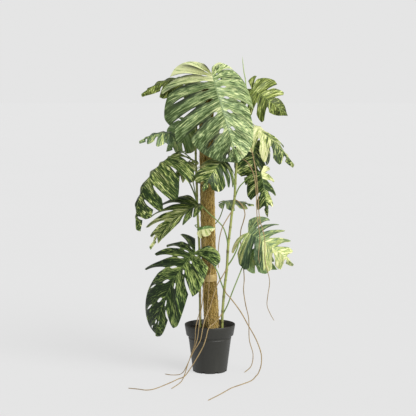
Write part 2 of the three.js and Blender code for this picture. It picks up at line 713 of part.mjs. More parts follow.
// A closed blade: rows run from the midrib to the margin, columns across each finger.
// Neighbouring fingers share their edge up to where the slit between them opens.
function bladeGeometry(leaf, extra = 0) {
  const axes = leafAxes(leaf);
  const rowsOf = ({ start, end }) => [start, (start + end) / 2, end];
  const holeRows = leaf.holes ? rowsOf(HOLE) : [];
  const windowRows = leaf.windows.flat().length ? rowsOf(WINDOW) : [];
  const rows = [0, leaf.cut, (1 + leaf.cut) / 2, 1, ...holeRows, ...windowRows].sort((a, b) => a - b);
  const columns = [-1, 0, 1];
  const middle = [];
  const depth = [];
  const named = new Map();
  const vertex = (side, k, c, r) => {
    const w = columns[c];
    const isMidrib = r === 0;
    const isEnd = k === leaf.lobes && w === 1;
    const isShared = w === 1 && slitShare(leaf, side, k, rows[r]) === 0;
    const column = isShared ? [k + 1, 0] : [k, c];
    const name = isEnd ? "end" + r : [isMidrib ? "midrib" : side, ...column, r].join();
    if (!named.has(name)) {
      named.set(name, middle.length);
      middle.push(bladePoint(leaf, axes, side, k, w, rows[r]));
      depth.push(isMidrib || isEnd ? MIDRIB_DEPTH * (1 - k / (leaf.lobes + 1)) : 0);
    }
    return named.get(name);
  };
  const faces = [];
  for (const side of [1, -1])
    for (let k = 0; k <= leaf.lobes; k++)
      for (let r = 0; r < rows.length - 1; r++)
        for (let c = 0; c < columns.length - 1; c++) {
          const corners = [[c, r], [c + 1, r], [c + 1, r + 1], [c, r + 1]];
          const quad = corners.map(([column, row]) => vertex(side, k, column, row));
          if (side < 0) quad.reverse();
          faces.push([quad[0], quad[1], quad[2]], [quad[0], quad[2], quad[3]]);
        }
  return thickened(middle, faces, depth, BLADE_THICKNESS + 2 * extra);
}

// A sheet given thickness: the same triangles on both faces, joined by walls round every edge
function thickened(middle, faces, depth, thickness) {
  const normals = middle.map(() => new THREE.Vector3());
  for (const [a, b, c] of faces) {
    const n = middle[b].clone().sub(middle[a]).cross(middle[c].clone().sub(middle[a]));
    for (const v of [a, b, c]) normals[v].add(n);
  }
  const count = middle.length;
  const points = middle.map((p, i) => p.clone().addScaledVector(normals[i].normalize(), thickness / 2));
  points.push(...middle.map((p, i) => p.clone().addScaledVector(normals[i], -thickness / 2 - depth[i])));
  const triangles = [];
  const edges = new Map();
  for (const [a, b, c] of faces) {
    triangles.push(a, b, c, count + a, count + c, count + b);
    for (const [p, q] of [[a, b], [b, c], [c, a]]) edges.set(p + "," + q, [p, q]);
  }
  for (const [p, q] of edges.values())
    if (!edges.has(q + "," + p)) triangles.push(q, p, count + p, q, count + p, count + q);
  return geometryFrom(points, triangles);
}

// Stems, petioles, roots and the new leaf

function stemSolid(name, extra = 0) {
  const stem = STEMS[name];
  return solidOf(taperedTube(stem.path, stem.radius, STEM_SIDES, stem.steps, extra));
}

// A petiole ends under its blade's sinus
function petioleTube(name, extra = 0) {
  const { base } = LEAVES[name];
  const { via, radius } = PETIOLES[name];
  const { up } = leafAxes(LEAVES[name]);
  const end = vector(base).addScaledVector(up, -MIDRIB_DEPTH - BLADE_THICKNESS / 2);
  return solidOf(taperedTube([...via, end.toArray()], radius, PETIOLE_SIDES, via.length + 4, extra));
}

// The blade's room is cut from its petiole in the blade's own place and a clearance to each side of it
function petioleSolid(name) {
  const { along, left, up } = leafAxes(LEAVES[name]);
  const room = solidOf(bladeGeometry(LEAVES[name], BLADE_ROOM));
  const sides = [along, left, up].flatMap((axis) => [axis, axis.clone().negate()]);
  const moved = sides.map((axis) => room.translate(axis.multiplyScalar(BLADE_ROOM).toArray()));
  const tube = petioleTube(name).subtract(stemSolid(PETIOLES[name].stem, CLEARANCE));
  return largestBody([room, ...moved].reduce((rest, piece) => rest.subtract(piece), tube));
}

function rootTube(root, extra = 0) {
  return solidOf(taperedTube(root.path, root.radius, ROOT_SIDES, root.steps, extra));
}

function rootSolid(root) {
  const [kind, ...rest] = root.from.split("_");
  const isOnStem = kind === "stem";
  const carrier = isOnStem ? stemSolid(root.from, CLEARANCE) : petioleTube(rest.join("_"), CLEARANCE);
  return largestBody(rootTube(root).subtract(carrier));
}

function shootSolid() {
  const tube = solidOf(taperedTube(SHOOT.path, SHOOT.radius, PETIOLE_SIDES, SHOOT.steps));
  return largestBody(tube.subtract(stemSolid("stem_right", CLEARANCE)));
}

const plant = new THREE.Group();

function add(name, geometry, finish) {
  const mesh = new THREE.Mesh(geometry, new THREE.MeshStandardMaterial({ metalness: 0, ...finish }));
  mesh.name = name;
  plant.add(mesh);
}

add("pot", potGeometry(), MATERIALS.pot);
add("coir_pole", geometryOf(poleSolid()), MATERIALS.coir);
add("pole_tie", geometryOf(tieSolid()), MATERIALS.tie);
for (const name of Object.keys(STEMS)) add(name, geometryOf(stemSolid(name)), MATERIALS.stem);
const standing = [poleSolid(CLEARANCE), ...Object.keys(STEMS).map((name) => stemSolid(name, CLEARANCE))];
standing.push(rootTube(ROOTS.root_pole_front, CLEARANCE));
add("soil", geometryOf(largestBody(soilSolid(standing))), MATERIALS.soil);
add("new_shoot", geometryOf(shootSolid()), MATERIALS.stem);
for (const [name, leaf] of Object.entries(LEAVES)) {
  add("blade_" + name, bladeGeometry(leaf), MATERIALS.blade);
  add("petiole_" + name, geometryOf(petioleSolid(name)), MATERIALS.petiole);
}
for (const [name, root] of Object.entries(ROOTS)) add(name, geometryOf(rootSolid(root)), MATERIALS.root);

export default plant;
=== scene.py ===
import logging
import math
from dataclasses import dataclass, field
from enum import Enum
from typing import Callable

import bpy
import numpy as np
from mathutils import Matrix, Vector


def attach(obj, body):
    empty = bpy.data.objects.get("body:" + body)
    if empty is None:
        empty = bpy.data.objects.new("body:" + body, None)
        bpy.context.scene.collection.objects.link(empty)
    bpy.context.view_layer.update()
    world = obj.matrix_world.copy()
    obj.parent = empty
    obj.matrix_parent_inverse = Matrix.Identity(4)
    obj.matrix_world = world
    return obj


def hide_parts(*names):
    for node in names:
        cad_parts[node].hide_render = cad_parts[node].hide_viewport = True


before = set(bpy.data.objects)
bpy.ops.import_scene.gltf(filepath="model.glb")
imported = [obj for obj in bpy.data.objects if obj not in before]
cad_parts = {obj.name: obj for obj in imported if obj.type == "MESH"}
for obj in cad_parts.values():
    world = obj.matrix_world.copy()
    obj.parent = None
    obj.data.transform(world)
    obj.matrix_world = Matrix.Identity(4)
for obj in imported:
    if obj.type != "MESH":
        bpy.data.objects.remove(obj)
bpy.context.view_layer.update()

LOG = logging.getLogger("monstera")
MM = 0.001
TURN = 2 * math.pi
BODY = "root"

Color = tuple[float, float, float]
Point = tuple[float, float, float]
Pair = tuple[float, float]
Line = tuple[Point, ...]
Socket = bpy.types.NodeSocket
RadiusRule = Callable[[np.ndarray, np.ndarray], np.ndarray]


def chance(seed: float, place: float) -> float:
    """Draw a repeatable number from 0 to 1 for a leaf's seed and a place on it."""
    s = math.sin(seed * 127.1 + place * 311.7) * 43758.5453
    return s - math.floor(s)


def unit(vector: np.ndarray) -> np.ndarray:
    """Give a vector, or each row of vectors, the length 1."""
    return vector / np.maximum(np.linalg.norm(vector, axis=-1, keepdims=True), 1e-9)


def bell(x: np.ndarray, width: float) -> np.ndarray:
    """Height of a bell that is 1 at 0 and as wide as given."""
    return np.exp(-((x / width) ** 2))


def between(ends: Pair, share: np.ndarray) -> np.ndarray:
    """Value at a share of the way from one end to the other."""
    return ends[0] + (ends[1] - ends[0]) * share


def opaque(color: object) -> object:
    """Give a plain colour its fourth number; a socket is returned as it is."""
    return color if isinstance(color, Socket) else (*color, 1.0)


# Shader nodes


class Sheet:
    """The nodes of one tree, put down and joined in the order they are written."""

    columns: int = 12
    step: tuple[int, int] = (190, -230)

    def __init__(self, tree: bpy.types.NodeTree) -> None:
        """Take the material's or the group's tree that the nodes go into."""
        self.tree = tree

    def put(self, kind: str, inputs: dict | None = None, **settings: object) -> bpy.types.Node:
        """Add one node.

        Args:
            kind: Blender's name for the node type.
            inputs: Socket name or number to a plain value or another node's output.
            **settings: Properties of the node itself.

        Returns:
            The new node.
        """
        node = self.tree.nodes.new(kind)
        row, column = divmod(len(self.tree.nodes), self.columns)
        node.location = (self.step[0] * column, self.step[1] * row)
        for key, value in settings.items():
            setattr(node, key, value)
        for key, value in (inputs or {}).items():
            if isinstance(value, Socket):
                self.tree.links.new(value, node.inputs[key])
            else:
                node.inputs[key].default_value = value
        return node

    def math(self, operation: str, a: object, b: object = 0.0, clamp: bool = False) -> Socket:
        """Join two numbers or sockets; clamp keeps the result between 0 and 1."""
        return self.put("ShaderNodeMath", {0: a, 1: b}, operation=operation, use_clamp=clamp).outputs[0]

    def times(self, a: object, b: object) -> Socket:
        """Product of two numbers or sockets."""
        return self.math("MULTIPLY", a, b)

    def plus(self, a: object, b: object) -> Socket:
        """Sum of two numbers or sockets."""
        return self.math("ADD", a, b)

    def mix(self, factor: object, a: object, b: object) -> Socket:
        """Mix two colours; the factor is the share of the second."""
        return self.put("ShaderNodeMix", {0: factor, 6: opaque(a), 7: opaque(b)}, data_type="RGBA").outputs[2]

    def span(self, value: Socket, source: Pair, target: Pair = (0.0, 1.0)) -> Socket:
        """Carry a value from one range to another, held at its ends."""
        return self.put("ShaderNodeMapRange", dict(enumerate((value, *source, *target)))).outputs[0]

    def ramp(self, value: Socket, places: tuple[float, ...], colors: tuple[Color, ...]) -> Socket:
        """Turn a value into colour.

        Args:
            value: The value, from 0 to 1.
            places: Where each colour lies.
            colors: The colours.

        Returns:
            The colour.
        """
        node = self.put("ShaderNodeValToRGB", {0: value})
        elements = node.color_ramp.elements
        elements[0].position, elements[-1].position = places[0], places[-1]
        for place in places[1:-1]:
            elements.new(place)
        for element, color in zip(elements, colors):
            element.color = opaque(color)
        return node.outputs[0]

    def value_of(self, name: str, part: str = "Fac") -> Socket:
        """Read a named value of the mesh: Fac for a number, Vector for three."""
        return self.put("ShaderNodeAttribute", attribute_name=name).outputs[part]

    def noise(self, place: Socket, scale: object, detail: float = 3.0, twist: float = 0.0) -> Socket:
        """Noise from 0 to 1, with its features for each metre, its finer layers and its distortion."""
        inputs = {"Vector": place, "Scale": scale, "Detail": detail, "Distortion": twist}
        return self.put("ShaderNodeTexNoise", inputs).outputs["Fac"]

    def drift(self, place: Socket, scale: float, detail: float, twist: float = 0.0) -> Socket:
        """Noise round 0."""
        return self.math("SUBTRACT", self.noise(place, scale, detail, twist), 0.5)


class Effects:
    """Shader node groups that several finishes share, each built once."""

    built: dict[str, bpy.types.NodeTree] = {}

    @classmethod
    def start(cls, name: str, **inputs: float | None) -> tuple[Sheet, bpy.types.NodeOutputs]:
        """Open a new group.

        Args:
            name: The group's name.
            **inputs: Socket names with their defaults; a None stands for a vector.

        Returns:
            Its sheet and its input node's outputs.
        """
        tree = cls.built[name] = bpy.data.node_groups.new(name, "ShaderNodeTree")
        for key, default in inputs.items():
            kind = "NodeSocketVector" if default is None else "NodeSocketFloat"
            socket = tree.interface.new_socket(name=key, in_out="INPUT", socket_type=kind)
            if default is not None:
                socket.default_value = default
        sheet = Sheet(tree)
        return sheet, sheet.put("NodeGroupInput").outputs

    @staticmethod
    def give(sheet: Sheet, **results: Socket) -> None:
        """Close a group with its named outputs.

        Args:
            sheet: The group's nodes.
            **results: Output names with what they give.
        """
        for key in results:
            sheet.tree.interface.new_socket(name=key, in_out="OUTPUT", socket_type="NodeSocketFloat")
        sheet.put("NodeGroupOutput", results)

    @classmethod
    def place(cls, sheet: Sheet, name: str, **inputs: object) -> bpy.types.NodeOutputs:
        """Put a group into a material with its own values.

        Args:
            sheet: The material's sheet.
            name: The group's name, which is also the method that builds it.
            **inputs: Its values.

        Returns:
            The group's outputs.
        """
        if name not in cls.built:
            getattr(cls, name)()
        return sheet.put("ShaderNodeGroup", inputs, node_tree=cls.built[name]).outputs

    @classmethod
    def mottle(cls) -> None:
        """Broad and fine unevenness of colour over a surface."""
        sheet, given = cls.start("mottle", Place=None, Broad=12.0, Fine=160.0)
        broad = sheet.times(sheet.noise(given["Place"], given["Broad"], 3.0), 0.65)
        fine = sheet.times(sheet.noise(given["Place"], given["Fine"], 2.0), 0.35)
        cls.give(sheet, Value=sheet.span(sheet.plus(broad, fine), (0.3, 0.7)))

    @classmethod
    def grain(cls) -> None:
        """Fine height of a rough surface."""
        sheet, given = cls.start("grain", Place=None, Scale=400.0)
        coarse = sheet.noise(given["Place"], given["Scale"], 4.0)
        finer = sheet.noise(given["Place"], sheet.times(given["Scale"], 4.3), 2.0)
        cls.give(sheet, Height=sheet.plus(coarse, sheet.times(finer, 0.3)))

    @classmethod
    def dust(cls) -> None:
        """Dust that settles on what looks upward."""
        sheet, given = cls.start("dust", Place=None, Amount=0.2)
        normal = sheet.put("ShaderNodeNewGeometry").outputs["Normal"]
        upward = sheet.put("ShaderNodeSeparateXYZ", {0: normal}).outputs[2]
        cover = sheet.times(sheet.span(upward, (0.2, 1.0)), given["Amount"])
        patch = sheet.span(sheet.noise(given["Place"], 90.0, 4.0), (0.3, 0.75), (0.2, 1.0))
        cls.give(sheet, Mask=sheet.math("MULTIPLY", cover, patch, clamp=True))

    @classmethod
    def marbling(cls) -> None:
        """Cream and green that meet in streaks along the side veins."""
        inputs = {"Cream": 0.3, "Streak": None, "Flat": None, "Spread": 0.5, "Broad": 0.6, "Fleck": 0.2}
        sheet, given = cls.start("marbling", **inputs)
        streak = sheet.drift(given["Streak"], 200.0, 4.0, 0.4)
        broad = sheet.times(sheet.drift(given["Streak"], 40.0, 2.0, 0.3), given["Broad"])
        fleck = sheet.times(sheet.drift(given["Flat"], 210.0, 3.0), given["Fleck"])
        both = sheet.times(sheet.plus(streak, broad), sheet.times(given["Spread"], 2.0))
        total = sheet.plus(sheet.plus(given["Cream"], both), fleck)
        cls.give(sheet, Value=sheet.math("ADD", total, 0.0, clamp=True))

    @classmethod
    def veining(cls) -> None:
        """Midrib, side veins and the fine veins between them."""
        sheet, given = cls.start("veining", Vein=None, Midrib=0.0035, Side=0.0014, Fine=0.009)
        from_side, along, from_rib = sheet.put("ShaderNodeSeparateXYZ", {0: given["Vein"]}).outputs
        side = sheet.math("SUBTRACT", 1.0, sheet.math("DIVIDE", from_side, given["Side"]), clamp=True)
        middle = sheet.math("SUBTRACT", 1.0, sheet.math("DIVIDE", from_rib, given["Midrib"]), clamp=True)
        mask = sheet.math("MAXIMUM", side, middle)
        run = sheet.math("DIVIDE", sheet.plus(along, sheet.times(from_side, -0.9)), given["Fine"])
        fine = sheet.span(sheet.math("SINE", sheet.times(run, TURN)), (0.7, 1.0), (0.0, 0.35))
        cls.give(sheet, Mask=mask, Height=sheet.plus(sheet.times(mask, -1.0), fine))


# Finishes


@dataclass(frozen=True)
class Look:
    """Base colour, roughness from a finish's smoothest (0) to its roughest (1), and height."""

    color: Socket
    rough: Socket
    height: Socket


@dataclass(frozen=True)
class Finish:
    """A surface: its roughness, relief in metres, and features of its mottle and grain for each metre."""

    name: str = "plain"
    roughness: Pair = (0.5, 0.6)
    relief: float = 0.0004
    strength: float = 0.5
    specular: float = 0.5
    glow: float = 0.0
    mottle: Pair = (12.0, 160.0)
    grain: float = 400.0

    def mottled(self, sheet: Sheet, place: Socket) -> Socket:
        """The finish's mottle at a place."""
        return Effects.place(sheet, "mottle", Place=place, Broad=self.mottle[0], Fine=self.mottle[1])["Value"]

    def grained(self, sheet: Sheet, place: Socket) -> Socket:
        """The finish's grain at a place."""
        return Effects.place(sheet, "grain", Place=place, Scale=self.grain)["Height"]

    def look(self, sheet: Sheet, place: Socket) -> Look:
        """Build the finish's own nodes; each kind of finish has its own."""
        raise NotImplementedError

    def material(self) -> bpy.types.Material:
        """Make the material once and give it again when it is asked for again.

        Returns:
            The material.
        """
        known = bpy.data.materials.get(self.name)
        if known:
            return known
        made = bpy.data.materials.new(self.name)
        made.use_nodes = True
        made.node_tree.nodes.clear()
        sheet = Sheet(made.node_tree)
        look = self.look(sheet, sheet.put("ShaderNodeTexCoord").outputs["Object"])
        relief = {"Strength": self.strength, "Distance": self.relief, "Height": look.height}
        inputs = {
            "Base Color": look.color,
            "Roughness": sheet.span(look.rough, (0.0, 1.0), self.roughness),
            "Normal": sheet.put("ShaderNodeBump", relief).outputs[0],
            "Specular IOR Level": self.specular,
            "Emission Color": (1.0, 1.0, 1.0, 1.0),
            "Emission Strength": self.glow,
        }
        skin = sheet.put("ShaderNodeBsdfPrincipled", inputs)
        sheet.put("ShaderNodeOutputMaterial", {"Surface": skin.outputs[0]})
        return made


@dataclass(frozen=True)
class MouldedPlastic(Finish):
    """Matt grey nursery plastic with scuffs and a little dust."""

    dark: Color = (0.019, 0.019, 0.014)
    light: Color = (0.03, 0.03, 0.024)
    dusty: Color = (0.22, 0.2, 0.17)
    dust: float = 0.25
    mottle: Pair = (9.0, 120.0)
    grain: float = 700.0

    def look(self, sheet: Sheet, place: Socket) -> Look:
        """Mottled grey with dust where it looks up and a fine moulded grain.

        Args:
            sheet: The material's nodes.
            place: Where they are read.

        Returns:
            Colour, roughness and height.
        """
        value = self.mottled(sheet, place)
        dusty = Effects.place(sheet, "dust", Place=place, Amount=self.dust)["Mask"]
        color = sheet.mix(dusty, sheet.mix(value, self.dark, self.light), self.dusty)
        return Look(color, value, self.grained(sheet, place))


@dataclass(frozen=True)
class Crumb(Finish):
    """Potting mix: peat and bark."""

    peat: Color = (0.012, 0.009, 0.007)
    bark: Color = (0.075, 0.042, 0.022)
    mottle: Pair = (70.0, 420.0)
    grain: float = 350.0

    def look(self, sheet: Sheet, place: Socket) -> Look:
        """Dark crumb, with each chip in its own brown.

        Args:
            sheet: The material's nodes.
            place: Where they are read.

        Returns:
            Colour, roughness and height.
        """
        value = self.mottled(sheet, place)
        color = sheet.mix(sheet.times(sheet.value_of("tone"), value), self.peat, self.bark)
        return Look(color, value, self.grained(sheet, place))


@dataclass(frozen=True)
class Fibre(Finish):
    """Coconut fibre, from dark fibre and painted shade between the strands to the pale loose ones."""

    shade: Color = (0.11, 0.07, 0.02)
    body: Color = (0.6, 0.42, 0.12)
    pale: Color = (0.9, 0.72, 0.32)
    stops: Point = (0.22, 0.5, 0.85)
    spots: float = 0.3
    mottle: Pair = (26.0, 300.0)
    grain: float = 900.0

    def look(self, sheet: Sheet, place: Socket) -> Look:
        """Each strand in its own tone, with darker spots along it.

        Args:
            sheet: The material's nodes.
            place: Where they are read.

        Returns:
            Colour, roughness and height.
        """
        value = self.mottled(sheet, place)
        tone = sheet.times(sheet.value_of("tone"), 1 - self.spots)
        both = sheet.plus(tone, sheet.times(value, self.spots))
        color = sheet.ramp(both, self.stops, (self.shade, self.body, self.pale))
        return Look(color, value, self.grained(sheet, place))


@dataclass(frozen=True)
class GreenBark(Finish):
    """Smooth skin of a stem, petiole, root or rolled leaf, with scars."""

    young: Color = (0.46, 0.5, 0.15)
    old: Color = (0.26, 0.3, 0.08)
    scar: Color = (0.1, 0.06, 0.025)
    mottle: Pair = (30.0, 240.0)
    grain: float = 600.0

    def look(self, sheet: Sheet, place: Socket) -> Look:
        """Two tones of skin with brown where a leaf or a root came away.

        Args:
            sheet: The material's nodes.
            place: Where they are read.

        Returns:
            Colour, roughness and height.
        """
        value = self.mottled(sheet, place)
        color = sheet.mix(value, self.old, self.young)
        scar = sheet.times(sheet.value_of("scar"), sheet.span(value, (0.0, 0.6), (1.0, 0.55)))
        return Look(sheet.mix(scar, color, self.scar), value, self.grained(sheet, place))


@dataclass(frozen=True)
class LeafSkin(Finish):
    """A waxy leaf, marbled in deep green, mid green, grey green, yellow and cream."""

    deep: Color = (0.02, 0.04, 0.01)
    green: Color = (0.07, 0.115, 0.028)
    grey: Color = (0.21, 0.29, 0.08)
    yellow: Color = (0.5, 0.57, 0.15)
    cream: Color = (0.84, 0.84, 0.45)
    stops: tuple[float, ...] = (0.1, 0.34, 0.5, 0.66, 0.85)
    vein: Color = (0.2, 0.28, 0.09)
    vein_share: float = 0.3
    spread: float = 1.5
    broad: float = 0.55
    fleck: float = 0.35
    roughness: Pair = (0.3, 0.48)
    relief: float = 0.0012
    strength: float = 0.6
    under_pale: float = 0.4
    specular: float = 0.2
    # Colour of the painted shade along the slits
    painted_slit_shade: Color = (0.008, 0.014, 0.005)
    mottle: Pair = (25.0, 180.0)

    def look(self, sheet: Sheet, place: Socket) -> Look:
        """Marbling from the leaf's own coordinates, veins over it, painted shade along the slits and a paler
        underside.

        Args:
            sheet: The material's nodes.
            place: Where they are read; not used.

        Returns:
            Colour, roughness and height.
        """
        flat = sheet.value_of("flat", "Vector")
        given = {"Cream": sheet.value_of("cream"), "Streak": sheet.value_of("streak", "Vector"), "Flat": flat}
        given |= {"Spread": self.spread, "Broad": self.broad, "Fleck": self.fleck}
        value = Effects.place(sheet, "marbling", **given)["Value"]
        color = sheet.ramp(value, self.stops, (self.deep, self.green, self.grey, self.yellow, self.cream))
        veins = Effects.place(sheet, "veining", Vein=sheet.value_of("vein", "Vector"))
        color = sheet.mix(sheet.times(veins["Mask"], self.vein_share), color, self.vein)
        # Painted shade: mix towards near-black green where the shadow value marks the slits
        color = sheet.mix(sheet.value_of("shadow"), color, self.painted_slit_shade)
        color = sheet.mix(sheet.times(sheet.value_of("under"), self.under_pale), color, self.grey)
        return Look(color, self.mottled(sheet, flat), veins["Height"])


@dataclass(frozen=True)
class PalePaper(Finish):
    """The studio floor."""

    shade: Color = (0.15, 0.15, 0.15)
    unevenness: float = 0.015
    glow: float = 0.63
    mottle: Pair = (0.6, 8.0)
    grain: float = 120.0

    def look(self, sheet: Sheet, place: Socket) -> Look:
        """One pale tone with hardly any grain.

        Args:
            sheet: The material's nodes.
            place: Where they are read.

        Returns:
            Colour, roughness and height.
        """
        value = self.mottled(sheet, place)
        other = tuple((1 - self.unevenness) * part for part in self.shade)
        return Look(sheet.mix(value, self.shade, other), value, self.grained(sheet, place))


# Meshes

BOX = np.array([[x, y, z] for z in (-1, 1) for x, y in ((-1, -1), (1, -1), (1, 1), (-1, 1))], float)
BOX_FACES = np.array([[3, 2, 1, 0], [4, 5, 6, 7], [0, 1, 5, 4], [1, 2, 6, 5], [2, 3, 7, 6], [3, 0, 4, 7]])


@dataclass
class Draft:
    """Points, faces and named values of one piece, gathered before its mesh is made."""

    points: list[np.ndarray] = field(default_factory=list)
    faces: list[np.ndarray] = field(default_factory=list)
    values: dict[str, list[np.ndarray]] = field(default_factory=dict)
    count: int = 0

    def add(self, points: np.ndarray, faces: np.ndarray, **values: np.ndarray) -> None:
        """Add a patch or a closed part.

        Args:
            points: Its points in millimetres.
            faces: Rows of three or four point numbers.
            **values: A number or three for each point.
        """
        self.points.append(np.asarray(points, float))
        self.faces.append(np.asarray(faces, int) + self.count)
        for name, value in values.items():
            self.values.setdefault(name, []).append(np.asarray(value, float))
        self.count += len(points)

    def placed(self, name: str) -> bpy.types.Object:
        """Make an object of the points and faces alone.

        Args:
            name: The object's name.

        Returns:
            The object.
        """
        mesh = bpy.data.meshes.new(name)
        faces = [row for patch in self.faces for row in patch.tolist()]
        mesh.from_pydata((np.concatenate(self.points) * MM).tolist(), [], faces)
        made = bpy.data.objects.new(name, mesh)
        bpy.context.collection.objects.link(made)
        return made

    def build(self, name: str, finish: Finish, slot: str, node: str, crease: float = 60) -> bpy.types.Object:
        """Make the piece, dress it and let it ride in its CAD node's place.

        Args:
            name: The piece's name.
            finish: Its surface.
            slot: The record's material slot; not used.
            node: The CAD node that it replaces.
            crease: Angle in degrees past which an edge stays sharp.

        Returns:
            The new object.
        """
        made = self.placed(name)
        for key, parts in self.values.items():
            value = np.concatenate(parts).astype(np.float32)
            kind, part = ("FLOAT", "value") if value.ndim == 1 else ("FLOAT_VECTOR", "vector")
            made.data.attributes.new(key, kind, "POINT").data.foreach_set(part, value.ravel())
        made.data.shade_smooth()
        made.data.set_sharp_from_angle(angle=math.radians(crease))
        made.data.materials.append(finish.material())
        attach(made, BODY)
        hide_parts(node)
        LOG.info("%s: %d faces for %s", name, len(made.data.polygons), node)
        return made


def smooth_path(path: Line, steps: int) -> np.ndarray:
    """Run one smooth curve through the points, with its samples evenly apart.

    Args:
        path: The points in millimetres.
        steps: How many equal steps it is cut into.

    Returns:
        The samples, one more than the steps.
    """
    given = np.array(path, float)
    ends = np.vstack([2 * given[0] - given[1], given, 2 * given[-1] - given[-2]])
    dense = []
    share = np.linspace(0, 1, 24, endpoint=False)[:, None]
    square, cube = share**2, share**3
    for p0, p1, p2, p3 in zip(ends, ends[1:], ends[2:], ends[3:]):
        d0, d1, d2 = (max(np.linalg.norm(step) ** 0.5, 1e-4) for step in (p1 - p0, p2 - p1, p3 - p2))
        m1 = d1 * ((p1 - p0) / d0 - (p2 - p0) / (d0 + d1) + (p2 - p1) / d1)
        m2 = d1 * ((p2 - p1) / d1 - (p3 - p1) / (d1 + d2) + (p3 - p2) / d2)
        way = p1 + (p2 - p1) * (3 * square - 2 * cube)
        dense.append(way + m1 * (share - 2 * square + cube) + m2 * (cube - square))
    dense = np.vstack([*dense, given[-1:]])
    run = np.concatenate([[0.0], np.cumsum(np.linalg.norm(np.diff(dense, axis=0), axis=1))])
    return sampled(dense, np.linspace(0, run[-1], steps + 1), run)


def sampled(rows: np.ndarray, at: np.ndarray, places: np.ndarray | None = None) -> np.ndarray:
    """Read rows of three numbers between their own places, which are their counts if none are given."""
    known = np.arange(len(rows)) if places is None else places
    return np.stack([np.interp(at, known, column) for column in rows.T], axis=1)


def curve_frames(line: np.ndarray) -> tuple[np.ndarray, np.ndarray]:
    """Carry a pair of cross directions along a line without twist.

    Args:
        line: Its samples.

    Returns:
        Two directions across it at every sample.
    """
    ahead = unit(np.gradient(line, axis=0))
    across = np.zeros_like(line)
    across[0] = unit(np.cross(ahead[0], np.eye(3)[np.argmin(np.abs(ahead[0]))]))
    for i in range(1, len(line)):
        across[i] = unit(across[i - 1] - ahead[i] * across[i - 1].dot(ahead[i]))
    return across, np.cross(ahead, across)


def tube(draft: Draft, line: np.ndarray, radius: RadiusRule, sides: int, **values: np.ndarray) -> None:
    """Add a closed tube round a line.

    Args:
        draft: Where it goes.
        line: Samples of its centre line.
        radius: Radius for a share of the length and an angle.
        sides: Points round it.
        **values: A number for each sample.
    """
    first, second = curve_frames(line)
    share = np.linspace(0, 1, len(line))[:, None]
    angle = (np.arange(sides) / sides * TURN)[None, :]
    size = radius(share, angle) * np.ones((len(line), sides))
    turned = np.cos(angle)[..., None] * first[:, None] + np.sin(angle)[..., None] * second[:, None]
    points = (line[:, None] + size[..., None] * turned).reshape(-1, 3)
    ring = np.arange(len(line) - 1)[:, None] * sides
    a, b = ring + np.arange(sides), ring + np.roll(np.arange(sides), -1)
    walls = np.stack([a, b, b + sides, a + sides], axis=-1).reshape(-1, 4)
    draft.add(points, walls, **{key: np.repeat(value, sides) for key, value in values.items()})
    fan = np.arange(1, sides - 1)
    for corner, low, high in ((draft.count - len(points), fan + 1, fan), (draft.count - sides, fan, fan + 1)):
        draft.faces.append(corner + np.stack([0 * fan, low, high], axis=1))


def lathe(
    draft: Draft, profile: list[Pair], segments: int, uneven: Callable | None = None, **values: float
) -> None:
    """Turn a profile round the upright axis.

    Args:
        draft: Where it goes.
        profile: Radius and height of each ring; a radius of 0 closes the end.
        segments: Points round it.
        uneven: Height to add at x and y.
        **values: One number for the whole of it.
    """
    angle = np.arange(segments) / segments * TURN
    points, rings, total = [], [], 0
    for radius, height in profile:
        x, y = radius * np.cos(angle), radius * np.sin(angle)
        ring = np.stack([x, y, np.full(segments, float(height))], axis=1)
        ring = ring[:1] if radius == 0 else ring
        if uneven is not None:
            ring[:, 2] += uneven(ring[:, 0], ring[:, 1], height)
        rings.append(np.resize(total + np.arange(len(ring)), segments))
        points.append(ring)
        total += len(ring)
    spread = {key: np.full(total, value) for key, value in values.items()}
    draft.add(np.vstack(points), np.zeros((0, 4)), **spread)
    for low, high in zip(rings, rings[1:]):
        quads = draft.count - total + np.stack([low, np.roll(low, -1), np.roll(high, -1), high], axis=1)
        if low[0] == low[1]:
            quads = quads[:, [0, 2, 3]]
        elif high[0] == high[1]:
            quads = quads[:, :3]
        draft.faces.append(quads)


def cut_away(piece: bpy.types.Object, draft: Draft) -> None:
    """Cut closed parts out of a piece's mesh and drop them.

    Args:
        piece: The piece.
        draft: The parts.
    """
    cutter = draft.placed("cutter")
    change = piece.modifiers.new("notches", "BOOLEAN")
    change.object, change.operation, change.solver = cutter, "DIFFERENCE", "EXACT"
    seen = piece.evaluated_get(bpy.context.evaluated_depsgraph_get())
    result = bpy.data.meshes.new_from_object(seen)
    piece.modifiers.clear()
    piece.data = result
    bpy.data.objects.remove(cutter)


# The pot and what fills it


